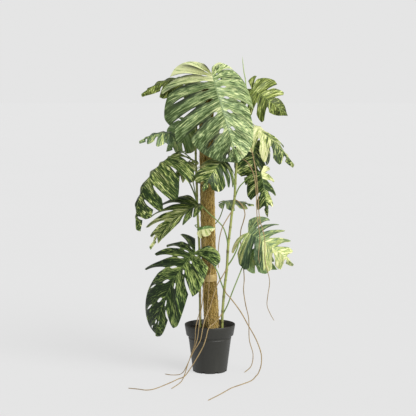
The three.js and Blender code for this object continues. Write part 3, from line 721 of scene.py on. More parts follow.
@dataclass
class NurseryPot:
    """A tapering pot with a collar, a ridge under it and drain notches round its foot."""

    height: float = 226
    rim: float = 120
    collar: float = 52
    collar_foot: float = 112
    shoulder: float = 103
    foot: float = 81
    wall: float = 2.6
    floor: float = 3.2
    edge: float = 2.0
    corner: Pair = (0.6, 0.4)
    bead: Pair = (8, 6)
    inside_round: float = 3
    ridge: float = 1.2
    ridge_drop: float = 15
    segments: int = 144
    notches: int = 8
    notch: Point = (12, 15, 8)
    finish: Finish = MouldedPlastic("pot_plastic", roughness=(0.42, 0.56), relief=0.0003, strength=0.35)

    def outer(self, z: float) -> float:
        """Radius of the outside at a height.

        Args:
            z: The height.

        Returns:
            The radius.
        """
        foot = self.height - self.collar
        if z <= foot:
            return between((self.foot, self.shoulder), z / foot)
        return between((self.collar_foot, self.rim), (z - foot) / self.collar)

    def inner(self, z: float) -> float:
        """Radius of the inside at a height."""
        return self.outer(z) - self.wall

    def profile(self) -> list[Pair]:
        """Rings from the middle of the underside, up the outside and down the inside.

        Returns:
            Radius and height of each ring.
        """
        top, foot = self.height, self.height - self.collar
        ridge, half = foot - self.ridge_drop, self.edge / 2
        corner, lip = self.corner
        outside = [
            (0, 0),
            (self.foot * 0.6, 0),
            (self.foot - self.edge, 0),
            (self.foot - corner, lip),
            (self.outer(self.edge), self.edge),
            (self.outer(ridge - self.edge), ridge - self.edge),
        ]
        for out, rise in ((0.8, -half), (1, 0), (0.8, half)):
            outside.append((self.outer(ridge) + out * self.ridge, ridge + rise))
        outside += [
            (self.outer(ridge + self.edge), ridge + self.edge),
            (self.shoulder, foot - half),
            (self.shoulder + half, foot),
            (self.collar_foot - half, foot),
            (self.collar_foot, foot + half),
            (self.rim - lip, top - self.bead[0]),
            (self.rim, top - self.bead[1]),
            (self.rim, top - half),
            (self.rim - half, top),
        ]
        inside = [(self.inner(top) + half, top), (self.inner(top), top - half)]
        for z in (foot + self.wall, foot - self.wall, self.floor + self.inside_round):
            inside.append((self.inner(z), z))
        return [*outside, *inside, (self.inner(self.floor) - self.inside_round, self.floor), (0, self.floor)]

    def build(self) -> bpy.types.Object:
        """Turn the pot and cut its notches.

        Returns:
            The pot.
        """
        draft = Draft()
        lathe(draft, self.profile(), self.segments)
        made = draft.build("pot_shell", self.finish, "pot", "pot", crease=50)
        depth, width, height = self.notch
        cuts = Draft()
        for turn in (np.arange(self.notches) + 0.5) / self.notches * TURN:
            c, s = math.cos(turn), math.sin(turn)
            axes = np.array([[c, s, 0], [-s, c, 0], [0, 0, 1]])
            middle = axes[0] * (self.foot + depth / 3)
            cuts.add(middle + BOX * (depth, width / 2, height) @ axes, BOX_FACES)
        cut_away(made, cuts)
        return made


@dataclass
class PottingMix:
    """A low dark mound with bark chips, down to the pot's floor."""

    pot: NurseryPot
    top: float = 200
    mound: float = 7
    wave: float = 2.4
    shore: float = 12
    rings: int = 30
    segments: int = 120
    chips: int = 420
    chip: Pair = (1.5, 6.0)
    chip_width: Pair = (0.4, 0.8)
    chip_depth: Pair = (0.2, 0.4)
    chip_wear: Pair = (0.7, 1.0)
    chip_tone: Pair = (0.3, 1.0)
    chip_tilt: float = 0.35
    chip_lift: float = 0.4
    chip_margin: float = 9
    gap: float = 0.3
    seed: int = 5
    finish: Finish = Crumb("potting_mix", roughness=(0.8, 0.98), relief=0.0015, strength=0.9)

    def level(self, x: np.ndarray, y: np.ndarray, height: float) -> np.ndarray:
        """Unevenness of the top; what lies lower stays plain.

        Args:
            x: Places across.
            y: Places away.
            height: The ring's plain height.

        Returns:
            Height to add.
        """
        if height < self.top:
            return np.zeros_like(x)
        edge = np.clip((self.pot.inner(self.top) - np.hypot(x, y)) / self.shore, 0, 1)
        wave = np.sin(0.11 * x + 1) * np.cos(0.13 * y) + 0.5 * np.sin(0.31 * x - 0.27 * y)
        return self.wave * wave * edge

    def build(self) -> bpy.types.Object:
        """Lay the mound and set the chips in it.

        Returns:
            The mix.
        """
        pot, gap = self.pot, self.gap
        wall = pot.inner(self.top) - gap
        foot, floor = pot.height - pot.collar, pot.floor + gap
        profile = [(s * wall, self.top + self.mound * (1 - s**2)) for s in np.linspace(0, 1, self.rings + 1)]
        profile += [
            (pot.inner(foot + pot.wall) - gap, foot + pot.wall + gap),
            (pot.inner(foot - pot.wall) - gap, foot - pot.wall),
            (pot.inner(pot.floor) - pot.inside_round - 0.5, floor),
            (0.0, floor),
        ]
        draft = Draft()
        lathe(draft, profile[::-1], self.segments, self.level, tone=0.15)
        draw = np.random.default_rng(self.seed)
        for _ in range(self.chips):
            radius, turn = (wall - self.chip_margin) * math.sqrt(draw.random()), TURN * draw.random()
            x, y = radius * math.cos(turn), radius * math.sin(turn)
            length = draw.uniform(*self.chip)
            size = length * np.array([1.0, draw.uniform(*self.chip_width), draw.uniform(*self.chip_depth)])
            spin = np.linalg.qr(np.eye(3) + self.chip_tilt * draw.normal(size=(3, 3)))[0]
            c, s = math.cos(turn * 7), math.sin(turn * 7)
            twist = np.array([[c, s, 0], [-s, c, 0], [0, 0, 1]])
            shape = BOX * draw.uniform(*self.chip_wear, BOX.shape) * size @ spin.T @ twist
            uneven = float(self.level(np.array([x]), np.array([y]), self.top)[0])
            z = self.top + self.mound * (1 - (radius / wall) ** 2) + uneven + self.chip_lift
            faces = BOX_FACES[:, ::-1] if np.linalg.det(spin) < 0 else BOX_FACES
            draft.add(shape + (x, y, z), faces, tone=np.full(len(BOX), draw.uniform(*self.chip_tone)))
        return draft.build("potting_mix_mound", self.finish, "soil", "soil", crease=40)


# The pole


@dataclass
class CoirPole:
    """A pole of coconut fibre: a core painted dark as shade between the strands, under thousands of strands.
    """

    path: Line = ((11, 6, 30), (9, 6, 215), (-3, 7, 461), (-12, 9, 860), (-19, 11, 1352))
    radius: float = 33
    flare: float = 3
    flare_share: float = 0.3
    strands: int = 4200
    loose: int = 420
    strand_length: Pair = (35, 120)
    loose_length: Pair = (18, 60)
    strand_points: int = 5
    strand_radius: Pair = (0.35, 0.8)
    strand_wind: float = 0.5
    strand_wobble: Pair = (0.12, 0.5)
    strand_depth: Pair = (-1.4, 1.2)
    loose_lift: Pair = (2, 7)
    tone: Pair = (0.52, 0.3)
    foot: Pair = (0.16, 0.16)
    core_depth: float = 1.6
    sides: int = 48
    steps: int = 260
    seed: int = 9
    finish: Finish = Fibre("coir_fibre", roughness=(0.85, 1.0), relief=0.0006, strength=0.8, specular=0.15)

    def size(self, share: np.ndarray) -> np.ndarray:
        """Radius at a share of the pole's length."""
        return self.radius + self.flare * np.maximum(0, 1 - share / self.flare_share)

    def core(self, share: np.ndarray, angle: np.ndarray) -> np.ndarray:
        """Uneven core under the strands."""
        lumps = np.sin(5 * angle + 31 * share) + 0.7 * np.sin(9 * angle - 47 * share)
        return self.size(share) - self.core_depth + 0.7 * (lumps + 0.5 * np.sin(17 * angle + 160 * share))

    def build(self) -> bpy.types.Object:
        """Lay the strands on the core.

        Returns:
            The pole.
        """
        draft = Draft()
        line = smooth_path(self.path, self.steps)
        # The core's low tone is painted shade where it shows between the strands
        tube(draft, line, self.core, self.sides, tone=0.12 + 0.1 * np.sin(np.arange(len(line)) * 1.7))
        first, second = curve_frames(line)
        draw = np.random.default_rng(self.seed)
        length = np.linalg.norm(np.diff(line, axis=0), axis=1).sum()
        count = self.strand_points
        along = np.linspace(0, 1, count)
        for i in range(self.strands):
            is_loose = i < self.loose
            reach = draw.uniform(*(self.loose_length if is_loose else self.strand_length)) / length
            start = draw.uniform(0, 1 - reach)
            share = start + reach * along
            turn = draw.uniform(0, TURN) + draw.normal() * self.strand_wind * along
            turn = turn + self.strand_wobble[0] * draw.normal(size=count)
            out = self.size(share) + draw.uniform(*self.strand_depth)
            out = out + self.strand_wobble[1] * draw.normal(size=count)
            if is_loose:
                out = out + draw.uniform(*self.loose_lift) * along**2
            middle, right, away = (sampled(part, share * self.steps) for part in (line, first, second))
            strand = middle + out[:, None] * (np.cos(turn)[:, None] * right + np.sin(turn)[:, None] * away)
            thick = draw.uniform(*self.strand_radius)
            paler = self.foot[1] * (start < self.foot[0])
            tone = np.clip(draw.normal(self.tone[0] + paler, self.tone[1]), 0, 1)
            tube(draft, strand, lambda s, a, thick=thick: thick + 0 * s, 3, tone=np.full(count, tone))
        return draft.build("coir_pole_strands", self.finish, "coir", "coir_pole", crease=80)


@dataclass
class PoleTie:
    """A woven band round the pole."""

    pole: CoirPole
    height: float = 449
    width: float = 36
    inner: float = 35.2
    thickness: float = 1.6
    segments: int = 144
    rows: int = 18
    path_steps: int = 1320
    finish: Finish = Fibre(
        "tie_weave", roughness=(0.75, 0.95), relief=0.0005, strength=0.7, specular=0.2,
        shade=(0.25, 0.17, 0.06), body=(0.52, 0.38, 0.15), pale=(0.75, 0.6, 0.3),
    )

    def build(self) -> bpy.types.Object:
        """Wind the band, its two faces joined at its edges.

        Returns:
            The band.
        """
        low, high = self.pole.path[0][2], self.pole.path[-1][2]
        line = smooth_path(self.pole.path, self.path_steps)
        middle = int(round((self.height - low) / (high - low) * self.path_steps))
        ahead = unit(line[middle + 5] - line[middle - 5])
        first = unit(np.cross(ahead, (0, 1, 0)))
        angle = np.arange(self.segments) / self.segments * TURN
        turned = np.outer(np.cos(angle), first) + np.outer(np.sin(angle), np.cross(ahead, first))
        across = np.linspace(-1, 1, self.rows)
        half = self.width / 2 - 1
        points = []
        for row, place in enumerate(across):
            weave = 0.35 * np.sin(angle * 36 + row * math.pi) + 0.2 * np.sin(angle * 7)
            out = self.inner + self.thickness - 0.9 + weave + 0.8 * (1 - place**2)
            rise = place * half + 0.7 * np.sin(angle * 11 + 2) * abs(place) ** 6
            points.append(line[middle] + out[:, None] * turned + np.outer(rise, ahead))
        for place in across[::-1]:
            points.append(line[middle] + self.inner * turned + place * half * ahead)
        ids = np.arange(2 * self.rows * self.segments).reshape(-1, self.segments)
        left, after = np.roll(ids, -1, axis=1), np.roll(ids, -1, axis=0)
        faces = np.stack([left, ids, after, np.roll(after, -1, axis=1)], axis=-1).reshape(-1, 4)
        draft = Draft()
        draft.add(np.vstack(points), faces, tone=0.55 + 0.25 * np.sin(np.arange(ids.size) * 2.1))
        return draft.build("pole_tie_band", self.finish, "tie", "pole_tie")


# Stems, petioles, roots and the rolled leaf


@dataclass
class Shoot:
    """Anything long and round that grows: a path, a radius at each end and its skin."""

    name: str
    path: Line
    radius: Pair
    finish: Finish
    slot: str
    sides: int = 14
    spacing: float = 6.0

    def plain(self, share: np.ndarray) -> np.ndarray:
        """Radius without relief."""
        return between(self.radius, share)

    def size(self, share: np.ndarray, angle: np.ndarray) -> np.ndarray:
        """Radius at a share of the length and an angle; each kind of shoot has its own relief."""
        raise NotImplementedError

    def scars(self, share: np.ndarray) -> np.ndarray:
        """How brown the skin is at a share of the length."""
        return 0 * share

    def build(self) -> bpy.types.Object:
        """Sweep the shoot along its path.

        Returns:
            The piece.
        """
        length = np.linalg.norm(np.diff(np.array(self.path), axis=0), axis=1).sum()
        line = smooth_path(self.path, max(12, int(length / self.spacing)))
        draft = Draft()
        tube(draft, line, self.size, self.sides, scar=self.scars(np.linspace(0, 1, len(line))))
        return draft.build(self.name + "_skin", self.finish, self.slot, self.name)


@dataclass
class Stem(Shoot):
    """A climbing stem with a ring at each node."""

    node_gap: float = 68
    node_half: float = 4.5
    sides: int = 20
    spacing: float = 3.0

    def rings(self, share: np.ndarray) -> np.ndarray:
        """How close a place is to a node: 1 on it, falling off within a few millimetres.

        Args:
            share: Place along the stem.

        Returns:
            The closeness from 0 to 1.
        """
        place = share * (self.path[-1][2] - self.path[0][2]) / self.node_gap
        place = place + 0.18 * np.sin(place * 2.3)
        return bell((place - np.round(place)) * self.node_gap, self.node_half)

    def size(self, share: np.ndarray, angle: np.ndarray) -> np.ndarray:
        """A little thicker at each node and not quite round."""
        return self.plain(share) * (1 + 0.16 * self.rings(share) + 0.03 * np.sin(3 * angle + 20 * share))

    def scars(self, share: np.ndarray) -> np.ndarray:
        """Brown on the nodes."""
        return np.clip(0.75 * self.rings(share) + 0.12, 0, 1)


@dataclass
class Petiole(Shoot):
    """A leaf stalk: a sheath where it leaves the stem and a knee under its blade."""

    sides: int = 12
    spacing: float = 4.0
    sheath: Pair = (0.3, 0.07)
    knee: Pair = (0.16, 0.035)
    tip: Pair = (0.55, 0.035)
    groove: Pair = (0.06, 0.316)

    def size(self, share: np.ndarray, angle: np.ndarray) -> np.ndarray:
        """Sheath, plain stalk, knee and a narrow end in the blade.

        Args:
            share: Place along the shoot, from 0 to 1.
            angle: Place round it.

        Returns:
            The radius.
        """
        knee_place = 1 - 2 * self.knee[1]
        swell = 1 + self.sheath[0] * bell(share, self.sheath[1])
        swell = swell + self.knee[0] * bell(share - knee_place, self.knee[1])
        tip = 1 - self.tip[0] * np.clip((share - 1) / self.tip[1] + 1, 0, 1)
        return self.plain(share) * swell * tip * (1 - self.groove[0] * bell(angle - 1.5, self.groove[1]))

    def scars(self, share: np.ndarray) -> np.ndarray:
        """Brown where the stalk leaves the stem, and a trace at the knee."""
        return 0.55 * bell(share, 0.05) + 0.18 * bell(share - 0.9, 0.02)


@dataclass
class AerialRoot(Shoot):
    """A long bare root, uneven along its length."""

    sides: int = 10
    spacing: float = 5.0
    seed: float = 1.0

    def size(self, share: np.ndarray, angle: np.ndarray) -> np.ndarray:
        """Uneven, no thicker than at its start, with a blunt end.

        Args:
            share: Place along the shoot, from 0 to 1.
            angle: Place round it.

        Returns:
            The radius.
        """
        lumps = 0.05 * np.sin(90 * share + self.seed) + 0.04 * np.sin(37 * share + 2 * self.seed)
        uneven = self.plain(share) * (1 + lumps + 0.03 * np.sin(3 * angle))
        return np.minimum(uneven, self.radius[0]) * np.sqrt(np.clip((1 - share) / 0.006, 0.08, 1))

    def scars(self, share: np.ndarray) -> np.ndarray:
        """Browner in stretches and at the root's start."""
        return 0.35 * (0.5 + 0.5 * np.sin(23 * share + 3 * self.seed)) ** 2 + 0.3 * bell(share, 0.02)


@dataclass
class RolledLeaf(Shoot):
    """A new leaf still rolled up, with its margin winding round it."""

    sides: int = 24
    spacing: float = 3.0

    def size(self, share: np.ndarray, angle: np.ndarray) -> np.ndarray:
        """A stalk, then a roll that comes to a point, with the margin as a step.

        Args:
            share: Place along the shoot, from 0 to 1.
            angle: Place round it.

        Returns:
            The radius.
        """
        roll = np.clip((share - 0.3) / 0.12, 0, 1)
        wind = (angle / TURN + 5 * share) % 1.0
        point = np.clip((1 - share) / 0.1, 0.12, 1) ** 0.7
        return self.plain(share) * (1 + 0.35 * roll * wind) * point


# Blades

# Distance of the margin from the sinus as a share of the blade's length, at degrees from the tip
OUTLINE_ANGLES = np.array([0, 12, 30, 50, 70, 95, 120, 142, 162], float)
OUTLINE_RADII = np.array([1.0, 0.99, 0.91, 0.77, 0.67, 0.56, 0.41, 0.34, 0.22])


def outline_radius(angle: np.ndarray) -> np.ndarray:
    """Distance of the outline from the sinus as a share of the blade's length.

    Args:
        angle: Degrees from the tip.

    Returns:
        The distance, on a smooth curve through the listed ones.
    """
    last = len(OUTLINE_ANGLES) - 1
    near = np.arange(last + 1)
    ahead, behind = np.minimum(near + 1, last), np.maximum(near - 1, 0)
    slope = (OUTLINE_RADII[ahead] - OUTLINE_RADII[behind]) / (OUTLINE_ANGLES[ahead] - OUTLINE_ANGLES[behind])
    i = np.clip(np.searchsorted(OUTLINE_ANGLES, angle, "left") - 1, 0, last - 1)
    h = OUTLINE_ANGLES[i + 1] - OUTLINE_ANGLES[i]
    s = (angle - OUTLINE_ANGLES[i]) / h
    ends = OUTLINE_RADII[i] * (1 + 2 * s) * (1 - s) ** 2 + OUTLINE_RADII[i + 1] * s * s * (3 - 2 * s)
    return ends + slope[i] * h * s * (1 - s) ** 2 - slope[i + 1] * h * s * s * (1 - s)


class Half(Enum):
    """The two halves of a blade, seen from above with its tip away."""

    LEFT = 1
    RIGHT = -1

    @property
    def index(self) -> int:
        """Place of this half's numbers in a pair."""
        return 0 if self is Half.LEFT else 1


@dataclass
class Blade:
    """A split leaf, arched along its midrib and curled on each side of it.

    Its numbers mean what they mean in the part's source. cream holds how variegated each finger
    is, from the sinus to the tip, for the left half and the right half.
    """

    name: str
    base: Point
    tip: Point
    face: Point
    width: Pair
    arch: float
    fold: Pair
    curl: Pair
    lobes: int
    cut: float
    gap: Pair
    droop: float
    sinus: float
    seed: float
    finish: LeafSkin
    cream: tuple[tuple[float, ...], tuple[float, ...]]
    holes: bool = False
    joined: tuple[tuple[int, ...], tuple[int, ...]] = ((), ())
    windows: tuple[tuple[int, ...], tuple[int, ...]] = ((), ())
    point: float = 0.2
    taper: float = 0.12
    taper_angle: float = 15.0
    basal: Pair = (1.0, 1.0)
    basal_start: float = 90.0
    basal_span: float = 40.0
    # Painted shade along each half's slits, and where across a finger it begins
    shadow: Pair = (0.3, 0.3)
    edge: Pair = (0.0, 0.0)
    shadow_start: float = 0.55
    droop_spread: Pair = (0.4, 1.2)
    thickness: float = 1.0
    rib: float = 2.2
    rib_half: float = 3.2
    vein: float = 0.7
    vein_half: float = 1.4
    vein_reach: float = 0.4
    columns: int = 13
    rows: int = 24
    crowding: float = 0.8
    start_power: float = 2.4
    last_start: float = 0.95
    bow: float = 0.07
    quilt: float = 0.028
    groove: float = 0.004
    groove_half: float = 0.16
    ripple: float = 0.005
    twist: float = 0.05
    reach: float = 0.94
    reach_spread: float = 0.12
    longest: float = 0.45
    point_power: float = 1.3
    tip_point: float = 1.5
    slit_power: float = 0.5
    streak: Pair = (0.06, 1.5)
    hole: Point = (0.1, 0.26, 0.11)
    window: Point = (0.45, 0.8, 0.06)

    def __post_init__(self) -> None:
        """Work out the leaf's own axes."""
        along = np.array(self.tip, float) - np.array(self.base, float)
        self.chord = float(np.linalg.norm(along))
        self.along = along / self.chord
        up = np.array(self.face, float)
        self.up = unit(up - self.along * up.dot(self.along))
        self.left = np.cross(self.up, self.along)
        bend = math.radians(self.arch)
        self.length = self.chord * bend / (2 * math.sin(bend / 2))

    def opened(self, t: np.ndarray) -> np.ndarray:
        """How far a place lies past the start of the slits, from 0 to 1 at the margin."""
        return np.clip((t - self.cut) / (1 - self.cut), 0, 1)

    def slit(self, half: Half, k: int, t: np.ndarray) -> np.ndarray:
        """Width of the slit that follows a finger.

        Args:
            half: Which half.
            k: The finger before the slit.
            t: From the midrib (0) to the margin (1).

        Returns:
            The width as a share of a finger.
        """
        if not 0 <= k < self.lobes:
            return np.zeros_like(t)
        is_joined = k in self.joined[half.index]
        wide = np.zeros_like(t) if is_joined else self.gap[half.index] * self.opened(t) ** self.slit_power
        openings = [self.hole] * self.holes + [self.window] * (k in self.windows[half.index])
        for start, end, share in openings:
            inside = (t > start + 1e-6) & (t < end - 1e-6)
            wide = np.where(inside, share * np.sin(math.pi * (t - start) / (end - start)), wide)
        return wide

    def group(self, half: Half, k: int) -> tuple[int, int]:
        """First and last finger of the lobe that a finger belongs to.

        Args:
            half: Which half.
            k: The finger.

        Returns:
            The two fingers' numbers.
        """
        low = high = k
        while low - 1 in self.joined[half.index]:
            low -= 1
        while high in self.joined[half.index]:
            high += 1
        return low, high

    def flat(self, half: Half, place: np.ndarray, t: np.ndarray) -> tuple[np.ndarray, np.ndarray]:
        """Point of the flat blade in shares of its length.

        Args:
            half: Which half.
            place: Along the midrib, from the sinus (0) to the tip (1).
            t: From the midrib (0) to the margin (1).

        Returns:
            Place along the midrib and across it.
        """
        held = np.clip(place, 0, 1)
        angle = self.sinus * (1 - held**self.crowding)
        slim = angle / self.taper_angle * np.exp(1 - angle / self.taper_angle)
        lobe = np.clip((angle - self.basal_start) / self.basal_span, 0, 1)
        radius = outline_radius(angle) * (1 - self.taper * slim) * (1 + (self.basal[half.index] - 1) * lobe)
        start = self.last_start * held**self.start_power
        margin_y = radius * np.sin(np.radians(angle)) * self.width[half.index]
        dx = radius * np.cos(np.radians(angle)) - start
        x = start + 2 * t * (1 - t) * (dx / 2 - self.bow * margin_y) + t * t * dx
        return x, 2 * t * (1 - t) * (margin_y / 2 + self.bow * dx) + t * t * margin_y

    def bent(self, half: Half, x: np.ndarray, y: np.ndarray, lift: np.ndarray) -> np.ndarray:
        """Carry flat points onto the arched, folded and curled blade.

        Args:
            half: Which half.
            x: Along the midrib.
            y: Across it.
            lift: Out of the blade, as a share of its length.

        Returns:
            Points in millimetres.
        """
        arch = math.radians(self.arch)
        slope = arch * (0.5 - x)
        run = (math.sin(arch / 2) - np.sin(slope)) / arch
        rise = (np.cos(slope) - math.cos(arch / 2)) / arch
        fold, curl = math.radians(self.fold[half.index]), 2 * math.radians(self.curl[half.index])
        across = half.value * (np.sin(fold + curl * y) - math.sin(fold)) / curl
        out = (math.cos(fold) - np.cos(fold + curl * y)) / curl + lift
        forward, upward = run - out * np.sin(slope), rise + out * np.cos(slope)
        shares = np.stack([forward, upward, across], axis=-1)
        return np.array(self.base, float) + self.length * shares @ np.array([self.along, self.up, self.left])

    def finger(self, half: Half, k: int, w: np.ndarray, t: np.ndarray) -> dict[str, np.ndarray]:
        """Points and values of one finger.

        Args:
            half: Which half.
            k: Which finger, from the sinus.
            w: Across the finger, from -1 towards the sinus to 1 towards the tip.
            t: From the midrib (0) to the margin (1).

        Returns:
            Points, and the values that the finish reads.
        """
        side, fingers = half.index, self.lobes + 0.5
        low, high = self.group(half, k)
        is_last, is_end = k == self.lobes, high == self.lobes
        first = k / fingers
        share = min(1.0, (k + 1) / fingers) - first
        before, after = self.slit(half, k - 1, t), self.slit(half, k, t)
        draw = [0.5 if is_end else chance(self.seed, 10 * low + n + 500 * side) for n in range(4)]
        opened = self.opened(t)
        across = 2 * (k - low + (w + 1) / 2 * share * fingers) / (min(high + 1, fingers) - low) - 1
        if is_end:
            pointed = self.tip_point * self.point * (1 - across) / 2
        else:
            pointed = self.point * (np.abs(across - self.longest) / (1 + self.longest)) ** self.point_power
        reach = self.reach + self.reach_spread * draw[1] - pointed
        run = np.where(t <= self.cut, t, self.cut + (t - self.cut) * ((reach - self.cut) / (1 - self.cut)))

        def spot(offset: np.ndarray) -> tuple[np.ndarray, np.ndarray, np.ndarray]:
            """Place and flat point at an offset across the finger."""
            place = first + share * (before + (offset + 1) / 2 * (1 - before - after))
            return place, *self.flat(half, place, run)

        place, x, y = spot(w)
        _, vein_x, vein_y = spot(np.full_like(w, float(is_last)))
        swell = np.sin(math.pi * t)
        droop = self.droop * (self.droop_spread[0] + self.droop_spread[1] * draw[2]) * opened**2
        lift = -droop - self.quilt * (1 - w**2) * swell
        if not is_end:
            ripple = self.ripple * np.sin(9 * t + 5 * low + self.seed)
            lift = lift + (self.twist * (draw[3] - 0.5) + ripple) * across * opened
        if not is_last:
            lift = lift - self.groove * bell(w, self.groove_half) * np.sqrt(np.clip(swell, 0, 1))
        size = self.length * MM
        from_middle = -w if is_last else np.abs(w)
        # Painted shade near the slits, strongest mid-way from the midrib to the margin
        near_slit = np.clip((from_middle - self.shadow_start) / (1 - self.shadow_start), 0, 1)
        run_length, run_width = self.streak
        stacked = {
            "flat": (x * size, half.value * y * size, 0.37 * self.seed),
            "streak": (t * size * run_length, place * size * run_width, 0.61 * self.seed + half.value),
            "vein": (np.hypot(x - vein_x, y - vein_y) * size, np.hypot(x - x[:, :1], y) * size, y * size),
        }
        return {
            "points": self.bent(half, x, y, lift),
            "place": place,
            "cream": self.cream[side][k] + self.edge[side] * t**2,
            "shadow": self.shadow[side] * near_slit * np.clip(1.3 * swell - 0.2, 0, 1),
            **{key: np.stack(np.broadcast_arrays(*parts), axis=-1) for key, parts in stacked.items()},
        }

    def row_places(self) -> np.ndarray:
        """Rows from the midrib to the margin, close together near the midrib and where a slit starts.

        Returns:
            The rows' places from 0 to 1.
        """
        extra = [0.012, 0.03, self.cut, self.cut + 0.012]
        for is_used, opening in ((self.holes, self.hole), (any(self.windows), self.window)):
            extra += list(np.linspace(*opening[:2], 7)) if is_used else []
        rows = np.unique(np.round(np.concatenate([np.linspace(0, 1, self.rows), extra]), 6))
        keep = [rows[0]]
        for row in rows[1:]:
            if row - keep[-1] > 0.006:
                keep.append(row)
            elif any(abs(row - fixed) < 1e-9 for fixed in extra):
                keep[-1] = row
        keep[-1] = 1.0
        return np.array(keep)

    def sheet(self) -> tuple[dict[str, np.ndarray], np.ndarray]:
        """The blade without thickness.

        Returns:
            Its values, points among them, and its faces.
        """
        t_line = self.row_places()
        w, t = np.meshgrid(np.linspace(-1, 1, self.columns), t_line, indexing="ij")
        kept: dict[str, list[np.ndarray]] = {}
        midrib, faces, total, end_ids = {}, [], 0, None
        for half in Half:
            previous = None
            for k in range(self.lobes + 1):
                ids = np.full(w.shape, -1)
                if k in midrib:
                    ids[:, 0] = midrib[k]
                if previous is not None:
                    shared = self.slit(half, k - 1, t_line) <= 0
                    ids[0, shared] = previous[-1, shared]
                if k == self.lobes and end_ids is not None:
                    ids[-1] = end_ids
                fresh = ids < 0
                ids[fresh] = total + np.arange(fresh.sum())
                total += int(fresh.sum())
                for key, value in self.finger(half, k, w, t).items():
                    kept.setdefault(key, []).append(value[fresh])
                midrib[k], previous = ids[:, 0], ids
                corners = (ids[:-1, :-1], ids[1:, :-1], ids[1:, 1:], ids[:-1, 1:])
                quads = np.stack(corners, axis=-1).reshape(-1, 4)
                faces.append(quads if half is Half.LEFT else quads[:, ::-1])
            end_ids = previous[-1]
        return {key: np.concatenate(parts) for key, parts in kept.items()}, np.vstack(faces)

    def build(self) -> bpy.types.Object:
        """Give the sheet its thickness, with the ribs standing out below.

        Returns:
            The blade.
        """
        values, faces = self.sheet()
        points, place = values.pop("points"), values.pop("place")
        a, b, c, d = points[faces].swapaxes(0, 1)
        turned = np.cross(c - a, d - b)
        normals = np.zeros_like(points)
        for i in range(4):
            np.add.at(normals, faces[:, i], turned)
        normals = unit(normals)
        from_vein, _, from_rib = values["vein"].T / MM
        depth = self.rib * (1 - place) ** 0.7 * bell(from_rib, self.rib_half)
        fading = np.clip(1 - from_rib / (self.vein_reach * self.length), 0, 1)
        depth += self.vein * bell(from_vein, self.vein_half) * fading
        half = self.thickness / 2
        both = np.vstack([points + normals * half, points - normals * (half + depth)[:, None]])
        count = len(points)
        starts, ends = faces.ravel(), np.roll(faces, -1, axis=1).ravel()
        is_open = ~np.isin(starts * count + ends, ends * count + starts)
        p, q = starts[is_open], ends[is_open]
        walls = np.stack([q, p, p + count, q + count], axis=1)
        doubled = {key: np.concatenate([value, value]) for key, value in values.items()}
        draft = Draft()
        every = np.vstack([faces, faces[:, ::-1] + count, walls])
        draft.add(both, every, under=np.repeat([0.0, 1.0], count), **doubled)
        return draft.build("leaf_" + self.name, self.finish, "leaf", "blade_" + self.name, crease=50)


# Leaf finishes: the crown is fresh, the lower leaves are deep green, some are olive, grey or pale

FRESH = LeafSkin(
    "leaf_fresh", deep=(0.05, 0.085, 0.02), green=(0.13, 0.2, 0.065), grey=(0.3, 0.4, 0.18),
    yellow=(0.47, 0.57, 0.22), cream=(0.8, 0.84, 0.45), vein=(0.07, 0.14, 0.035), vein_share=0.7, spread=1.15,
    specular=0.4, roughness=(0.28, 0.42),
)
DEEP = LeafSkin("leaf_deep")
MARBLED = LeafSkin(
    "leaf_marbled", deep=(0.012, 0.026, 0.007), green=(0.035, 0.065, 0.016), grey=(0.1, 0.16, 0.045),
    yellow=(0.26, 0.36, 0.09), cream=(0.45, 0.52, 0.17),
)
OLIVE = LeafSkin(
    "leaf_olive", deep=(0.03, 0.04, 0.008), green=(0.12, 0.16, 0.03), grey=(0.24, 0.3, 0.07), spread=1.0,
)
GREY = LeafSkin(
    "leaf_grey", deep=(0.04, 0.07, 0.035), green=(0.13, 0.2, 0.09), grey=(0.3, 0.4, 0.19), spread=1.0,
)
PALE = LeafSkin(
    "leaf_pale", deep=(0.14, 0.24, 0.08), green=(0.26, 0.4, 0.15), grey=(0.42, 0.56, 0.28), spread=1.0,
)

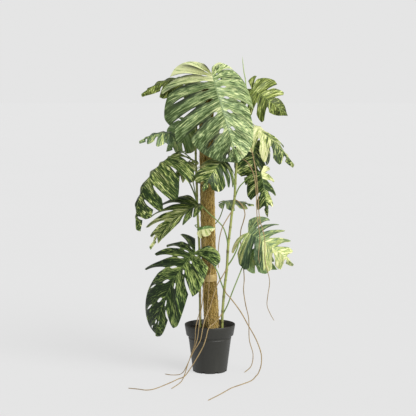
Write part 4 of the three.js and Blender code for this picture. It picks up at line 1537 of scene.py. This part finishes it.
BLADES = (
    Blade(
        "crown", (11, -40, 1404), (128, -180, 1005), (-0.1, -0.95, 0.3), (0.76, 1), 25, (-22, 5),
        (-52, -22), 8, 0.42, (0.08, 0.12), 0.05, 162, 3, FRESH,
        (
            (0.75, 0.6, 0.45, 0.42, 0.45, 0.4, 0.45, 0.42, 0.4),
            (1.1, 1.25, 0.85, 0.5, 0.4, 0.42, 0.45, 0.45, 0.42),
        ),
        holes=True, joined=((2, 3, 5, 6, 7), (0, 3, 6, 7)), windows=((), (3, 6, 7)), point=0.14,
        taper=0.04, basal=(0.8, 1.2),
        quilt=0.045, shadow=(0.45, 1.0), edge=(0.05, -0.28),
    ),
    Blade(
        "top_left", (-98, 124, 1385), (-330, 84, 1310), (-0.2, -0.45, 0.87), (0.7, 0.75), 50, (-5, 0),
        (-30, -60), 5, 0.4, (0.16, 0.16), 0.06, 120, 5, OLIVE,
        ((0.4, 0.4, 0.45, 0.35, 0.3, 0.3), (0.2, 0.25, 0.25, 0.2, 0.2, 0.2)),
        joined=((0, 2, 4), (0, 2, 4)), point=0.3,
    ),
    Blade(
        "top_right", (200, 104, 1338), (371, 72, 1214), (0.1, -0.9, 0.35), (0.85, 0.9), 20, (0, 0),
        (-20, -20), 5, 0.36, (0.12, 0.2), 0.05, 140, 7, OLIVE,
        ((0.4, 0.35, 0.3, 0.35, 0.35, 0.3), (0.3, 0.35, 0.35, 0.3, 0.35, 0.3)),
        joined=((1, 4), (4,)), point=0.3,
    ),
    Blade(
        "right_cream", (212, 44, 1162), (400, -14, 980), (0.5, -0.4, 0.75), (0.6, 0.65), 20, (0, -20),
        (-20, -60), 4, 0.34, (0.18, 0.22), 0.06, 120, 11, DEEP,
        ((0.95, 0.9, 0.35, 0.4, 0.7), (1, 1, 0.8, 0.15, 0.4)),
        joined=((0,), (0,)), point=0.3,
    ),
    Blade(
        "right_inner", (227, 26, 1096), (172, 14, 884), (0.35, -0.9, 0.1), (0.95, 1), 20, (-10, -10),
        (-30, -30), 5, 0.34, (0.12, 0.12), 0.05, 118, 13, DEEP,
        ((0.4, 0.3, 0.2, 0.2, 0.2, 0.2), (0.15, 0.25, 0.2, 0.25, 0.25, 0.3)),
        joined=((1,), (3,)), point=0.25,
    ),
    Blade(
        "right_hanging", (240, -32, 950), (272, -60, 742), (0.2, -0.9, 0.1), (0.62, 0.65), 20, (-15, -15),
        (-40, -40), 4, 0.3, (0.24, 0.2), 0.05, 130, 17, DEEP,
        ((1, 0.85, 0.25, 0.4, 0.2), (0.15, 0.2, 0.25, 0.15, 0.3)),
        joined=((), (1,)), point=0.35,
    ),
    Blade(
        "left_arching", (-186, -35, 1026), (-342, -110, 680), (-0.7, -0.2, 0.65), (0.78, 0.65), 65,
        (-20, 0), (-45, -30), 7, 0.32, (0.16, 0.2), 0.05, 150, 19, DEEP,
        ((0.3, 0.25, 0.2, 0.15, 0.2, 0.2, 0.25, 0.25), (0.4, 0.3, 0.25, 0.3, 0.25, 0.25, 0.25, 0.2)),
        joined=((1, 3), (2,)), point=0.3,
    ),
    Blade(
        "left_small", (-178, -20, 1134), (-333, -50, 1096), (0, -0.35, 0.93), (0.75, 0.75), 35, (0, 0),
        (-30, -30), 4, 0.34, (0.16, 0.18), 0.08, 130, 23, GREY,
        ((0.2, 0.3, 0.4, 0.4, 0.4), (0.2, 0.25, 0.3, 0.3, 0.4)),
        point=0.3,
    ),
    Blade(
        "left_pale", (-98, 92, 1155), (-210, 82, 1042), (-0.2, -0.9, 0.4), (1, 1), 20, (0, 0), (-20, -20),
        4, 0.42, (0.12, 0.12), 0.05, 125, 29, PALE,
        ((0.3, 0.35, 0.35, 0.4, 0.35), (0.35, 0.35, 0.3, 0.35, 0.35)),
        joined=((1,), (1,)), point=0.2,
    ),
    Blade(
        "centre", (61, -106, 1010), (-34, -244, 884), (0, -0.6, 0.8), (0.85, 1.1), 45, (-20, 0),
        (-50, -40), 5, 0.32, (0.16, 0.14), 0.06, 125, 31, DEEP,
        ((0.1, 0.1, 0.1, 0.1, 0.15, 0.2), (0.5, 0.55, 0.45, 0.35, 0.4, 0.25)),
        joined=((3,), (3,)), point=0.28,
    ),
    Blade(
        "left_inner", (-92, -44, 1000), (-186, -98, 880), (-0.4, -0.5, 0.75), (0.46, 1.15), 30, (-10, -10),
        (-40, -30), 5, 0.34, (0.16, 0.12), 0.05, 130, 37, DEEP,
        ((0.6, 0.5, 0.5, 0.5, 0.5, 0.5), (0.5, 0.5, 0.5, 0.45, 0.45, 0.45)),
        joined=((1,), (2,)), point=0.25,
    ),
    Blade(
        "left_middle", (-54, -56, 806), (-286, -116, 604), (-0.45, -0.45, 0.77), (0.62, 1.08), 35,
        (30, 20), (-35, -30), 5, 0.3, (0.22, 0.22), 0.05, 84, 41, DEEP,
        ((0.25, 0.2, 0.25, 0.35, 0.4, 0.6), (0.25, 0.15, 0.3, 0.55, 0.4, 0.6)),
        joined=((2,), (0,)), point=0.32,
    ),
    Blade(
        "low_left", (-70, -64, 580), (-256, -118, 182), (-0.55, -0.75, 0.32), (0.52, 0.8), 60, (15, 5),
        (-30, -25), 7, 0.36, (0.16, 0.26), 0.05, 128, 43, MARBLED,
        ((0.5, 0.4, 0.4, 0.4, 0.35, 0.3, 0.2, 0.2), (0.25, 0.25, 0.25, 0.25, 0.25, 0.2, 0.15, 0.15)),
        holes=True, joined=((0, 2, 4, 6), (4, 5, 6)), windows=((), (4, 5, 6)), point=0.28, taper=0.02,
        shadow=(0.35, 0.3),
    ),
    Blade(
        "pole_cream", (-46, -52, 682), (28, -70, 694), (0, -0.8, 0.6), (0.45, 0.9), 20, (0, 0), (-20, -20),
        2, 0.5, (0.08, 0.1), 0.04, 150, 47, PALE,
        ((0.1, 0.1, 0.2), (0.95, 0.95, 0.9)),
        point=0.15,
    ),
    Blade(
        "edge_on", (72, 58, 802), (212, 66, 790), (0, -0.2, 0.98), (0.75, 0.9), 10, (5, 5), (-20, -20), 3,
        0.36, (0.16, 0.2), 0.06, 150, 53, GREY,
        ((0.35, 0.35, 0.4, 0.4), (0.35, 0.4, 0.5, 0.6)),
        point=0.25,
    ),
    Blade(
        "low_right", (182, 15, 662), (402, -12, 508), (0.15, -0.85, 0.5), (1.14, 0.88), 30, (-5, -5),
        (-30, -35), 6, 0.22, (0.27, 0.2), 0.08, 120, 59, GREY,
        ((0.4, 0.35, 0.35, 0.45, 0.6, 0.7, 0.8), (0.8, 0.6, 0.2, 0.35, 0.65, 0.65, 0.6)),
        joined=((0,), (1, 3)), point=0.34,
    ),
    Blade(
        "low_pale", (178, 40, 556), (322, 20, 484), (0.1, -0.9, 0.4), (0.6, 0.7), 20, (0, 0), (-20, -20),
        3, 0.5, (0.12, 0.12), 0.04, 130, 61, PALE,
        ((0.3, 0.35, 0.35, 0.3), (0.3, 0.3, 0.3, 0.3)),
        joined=((1,), ()), point=0.15,
    ),
)

STEM_SKIN = GreenBark("stem_skin", roughness=(0.38, 0.55))
STALK_SKIN = GreenBark("stalk_skin", roughness=(0.38, 0.52), young=(0.24, 0.34, 0.08), old=(0.12, 0.2, 0.04))
ROOT_SKIN = GreenBark(
    "root_skin", roughness=(0.6, 0.8),
    young=(0.42, 0.31, 0.15), old=(0.27, 0.19, 0.08), scar=(0.24, 0.13, 0.06),
)
ROLLED_SKIN = GreenBark("rolled_skin", roughness=(0.35, 0.5), young=(0.55, 0.66, 0.3), old=(0.4, 0.52, 0.2))

# Radius at each end, and the path
STEMS: dict[str, tuple[Pair, Line]] = {
    "stem_right": ((6.5, 5.5), (
        (58, -22, 92), (59, -22, 262), (68, -26, 392), (80, -28, 497), (86, -28, 602), (97, -26, 700),
        (104, -24, 763), (115, -22, 822), (120, -20, 910), (124, -16, 987), (128, -8, 1080), (134, 2, 1180),
        (138, 8, 1250),
    )),
    "stem_left": ((6.0, 5.0), (
        (-46, 12, 92), (-46, 12, 262), (-48, 8, 450), (-50, 2, 600), (-58, 2, 751), (-60, 0, 804),
        (-62, 0, 900), (-66, 2, 1000), (-66, 6, 1101), (-62, 12, 1200), (-58, 16, 1280),
    )),
}

# Each petiole: radius at each end, and its path up to its blade
STALKS: dict[str, tuple[Pair, Line]] = {
    "crown": ((5, 4), ((135, 3, 1195), (116, 22, 1270), (84, 30, 1345), (44, 8, 1396))),
    "top_left": ((3.5, 3), ((-59, 15, 1265), (-76, 78, 1340))),
    "top_right": ((3.5, 3), ((136, 5, 1215), (170, 84, 1270))),
    "right_cream": ((3.5, 3), ((130, -4, 1112), (168, 34, 1160))),
    "right_inner": ((3.5, 3), ((126, -12, 1035), (178, 40, 1105))),
    "right_hanging": ((3, 2.6), ((116, -22, 828), (137, -26, 880), (167, -26, 912), (200, -24, 940))),
    "left_arching": ((3.5, 3), ((-60, 0, 808), (-80, 20, 862), (-108, 50, 918), (-146, 54, 982))),
    "left_small": ((2.8, 2.4), ((-65, 1, 960), (-88, -16, 1012), (-140, -22, 1060))),
    "left_pale": ((3, 2.6), ((-66, 4, 1060), (-78, 62, 1115))),
    "centre": ((3.5, 3), ((118, -21, 868), (108, -42, 930), (90, -68, 985))),
    "left_inner": ((2.8, 2.4), ((-60, 0, 795), (-70, -24, 860), (-80, -34, 912), (-88, -38, 970))),
    "left_middle": ((3.2, 2.6), (
        (86, -28, 602), (76, -40, 655), (60, -50, 697), (32, -56, 728), (-6, -60, 763), (-38, -58, 796),
    )),
    "low_left": ((3.2, 2.8), (
        (67, -26, 392), (50, -48, 440), (38, -58, 480), (12, -64, 525), (-20, -66, 560), (-48, -66, 578),
    )),
    "pole_cream": ((2.4, 2), ((-55, 2, 700), (-70, -26, 700))),
    "edge_on": ((2.8, 2.4), ((-52, 2, 640), (-54, 34, 650), (-14, 60, 668), (38, 62, 712))),
    "low_right": ((3.4, 2.8), ((81, -28, 505), (104, -34, 540), (126, -32, 585), (142, -10, 625))),
    "low_pale": ((3, 2.6), ((60, -22, 275), (82, -28, 318), (105, -26, 380), (152, 16, 490))),
}

ROOTS: dict[str, tuple[Pair, Line]] = {
    "root_long_right": ((2.7, 2.0), (
        (66, -26, 414), (76, -42, 381), (94, -52, 362), (143, -62, 298), (177, -70, 238), (220, -78, 160),
        (242, -84, 93), (240, -88, 41), (228, -92, 8), (216, -130, 3.4), (192, -216, 2.8), (146, -289, 2.8),
        (100, -353, 2.8), (48, -466, 2.8), (-9, -580, 2.8),
    )),
    "root_right": ((2.6, 1.9), (
        (116, -22, 822), (134, -34, 814), (154, -46, 790), (164, -50, 758), (156, -40, 717), (146, 10, 670),
        (148, 50, 590), (160, 50, 491), (164, 40, 437), (161, 36, 380), (171, 30, 312), (185, 22, 249),
        (189, 14, 143), (206, 0, 77), (196, -25, 26), (163, -57, 2.8),
    )),
    "root_twin_left": ((2.7, 1.6), (
        (125, -14, 1012), (152, -60, 1014), (175, -95, 1000), (194, -108, 967), (206, -116, 930),
        (214, -124, 847), (219, -128, 740), (227, -130, 694), (231, -130, 652), (225, -130, 567),
        (230, -130, 534),
    )),
    "root_twin_right": ((2.7, 1.5), (
        (130, -4, 1098), (166, -8, 1092), (190, -26, 1064), (206, -64, 1000), (214, -92, 946),
        (222, -120, 847), (230, -128, 740), (243, -130, 694), (253, -130, 652), (257, -130, 541),
        (277, -130, 452), (269, -130, 384), (266, -130, 337), (283, -130, 294), (299, -130, 266),
    )),
    "root_pole_right": ((2.6, 1.8), (
        (102, -25, 766), (80, -50, 734), (60, -66, 700), (46, -62, 650), (40, -52, 596), (38, -44, 547),
        (40, -38, 499),
    )),
    "root_pole_front": ((2.2, 2.0), (
        (6, -65, 526), (-2, -52, 459), (-8, -46, 367), (-12, -46, 306), (-5, -42, 220), (-2, -40, 170),
    )),
    "root_cross": ((2.6, 1.8), (
        (80, -28, 497), (62, -50, 468), (29, -60, 412), (7, -66, 342), (-6, -80, 306), (-19, -98, 277),
        (-28, -114, 251), (-34, -124, 228), (-46, -124, 169), (-76, -124, 120), (-100, -124, 68),
        (-113, -124, 26), (-118, -146, 14), (-124, -178, 4.4), (-136, -257, 2.8), (-173, -372, 2.8),
    )),
    "root_pole_left": ((2.4, 1.7), (
        (-10, -66, 548), (-24, -54, 461), (-30, -50, 401), (-34, -62, 351), (-43, -86, 298),
        (-49, -108, 260), (-52, -120, 229), (-60, -118, 173), (-86, -118, 101), (-112, -112, 40),
        (-127, -108, 15), (-144, -104, 4.4), (-183, -105, 2.8), (-212, -85, 2.8),
    )),
    "root_back_left": ((2.3, 1.5), (
        (-48, 6, 420), (-46, -22, 385), (-47, -70, 306), (-59, -102, 262), (-66, -112, 231),
        (-72, -108, 151), (-84, -106, 112), (-95, -106, 82),
    )),
    "root_long_left": ((2.6, 1.9), (
        (59, -22, 283), (44, -62, 268), (20, -100, 248), (-6, -126, 229), (-18, -126, 184),
        (-31, -126, 145), (-67, -130, 79), (-94, -134, 36), (-118, -142, 5.2), (-147, -189, 3.2),
        (-196, -286, 2.8), (-261, -388, 2.8), (-288, -397, 2.8), (-321, -380, 2.8), (-368, -362, 2.8),
    )),
}

ROLLED_RADIUS = (3.6, 1.4)
ROLLED_PATH = (
    (138, 9, 1240), (156, 54, 1262), (175, 80, 1302), (172, 92, 1345), (167, 84, 1390), (160, 70, 1423),
    (152, 48, 1492),
)


@dataclass
class Studio:
    """Floor, light and camera."""

    floor_reach: float = 60.0
    key_strength: float = 3.1
    key_spread: float = 40.0
    key_from: Point = (0.9, -0.8, 0.9)
    sky: float = 0.4
    backdrop: float = 0.783
    eye: Point = (-0.009, -6.0, 1.4)
    pitch: float = 5.9
    focal: float = 1278.8
    image: int = 416
    sensor: float = 36.0
    sight: float = 200.0
    finish: Finish = PalePaper(
        "studio_floor", roughness=(0.85, 0.95), relief=0.0001, strength=0.1, specular=0.1,
    )

    def placed(self, name: str, data: bpy.types.ID) -> bpy.types.Object:
        """Put a mesh, lamp or camera into the scene.

        Args:
            name: The object's name.
            data: Its mesh, lamp or camera.

        Returns:
            The object.
        """
        made = bpy.data.objects.new(name, data)
        bpy.context.collection.objects.link(made)
        return made

    def floor(self) -> None:
        """Lay the floor."""
        reach = self.floor_reach
        mesh = bpy.data.meshes.new("studio_floor")
        corners = [(-reach, -reach, 0), (reach, -reach, 0), (reach, reach, 0), (-reach, reach, 0)]
        mesh.from_pydata(corners, [], [(0, 1, 2, 3)])
        mesh.materials.append(self.finish.material())
        self.placed("studio_floor", mesh)

    def light(self) -> None:
        """Hang a broad soft lamp and light the room evenly."""
        lamp = bpy.data.lights.new("key", "SUN")
        lamp.energy, lamp.angle = self.key_strength, math.radians(self.key_spread)
        towards = (-Vector(self.key_from)).to_track_quat("-Z", "Y")
        self.placed("key", lamp).rotation_euler = towards.to_euler()
        world = bpy.context.scene.world = bpy.data.worlds.new("studio")
        world.use_nodes = True
        world.node_tree.nodes.clear()
        sheet = Sheet(world.node_tree)
        even, seen = (
            sheet.put("ShaderNodeBackground", {0: opaque((1, 1, 1)), 1: strength}).outputs[0]
            for strength in (self.sky, self.backdrop)
        )
        path = sheet.put("ShaderNodeLightPath").outputs[0]
        joined = sheet.put("ShaderNodeMixShader", {0: path, 1: even, 2: seen})
        sheet.put("ShaderNodeOutputWorld", {0: joined.outputs[0]})
        bpy.context.scene.view_settings.view_transform = "Standard"

    def camera(self) -> None:
        """Stand the camera where the photograph was taken from."""
        lens = bpy.data.cameras.new("camera")
        lens.sensor_width = self.sensor
        lens.lens = self.focal * self.sensor / self.image
        lens.clip_end = self.sight
        made = self.placed("camera", lens)
        made.location = self.eye
        made.rotation_euler = (math.radians(90 - self.pitch), 0, 0)
        bpy.context.scene.camera = made

    def build(self) -> None:
        """Set up the whole studio."""
        self.floor()
        self.light()
        self.camera()
        LOG.info("studio: floor, light and camera")


def stalk_of(blade: Blade) -> Petiole:
    """Make the petiole that ends under a blade's sinus.

    Args:
        blade: The blade.

    Returns:
        Its petiole.
    """
    radius, via = STALKS[blade.name]
    end = np.array(blade.base, float) - blade.up * (blade.rib + blade.thickness / 2)
    return Petiole("petiole_" + blade.name, (*via, tuple(end)), radius, STALK_SKIN, "petiole")


def main() -> None:
    """Build every piece in order and report it."""
    logging.basicConfig(level=logging.INFO, format="%(name)s: %(message)s")
    Studio().build()
    pot, pole = NurseryPot(), CoirPole()
    for piece in (pot, PottingMix(pot), pole, PoleTie(pole)):
        piece.build()
    for name, (radius, path) in STEMS.items():
        Stem(name, path, radius, STEM_SKIN, "stem").build()
    for blade in BLADES:
        blade.build()
        stalk_of(blade).build()
    for number, (name, (radius, path)) in enumerate(ROOTS.items()):
        AerialRoot(name, path, radius, ROOT_SKIN, "root", seed=1.0 + number).build()
    RolledLeaf("new_shoot", ROLLED_PATH, ROLLED_RADIUS, ROLLED_SKIN, "stem").build()


if __name__ == "__main__":
    main()
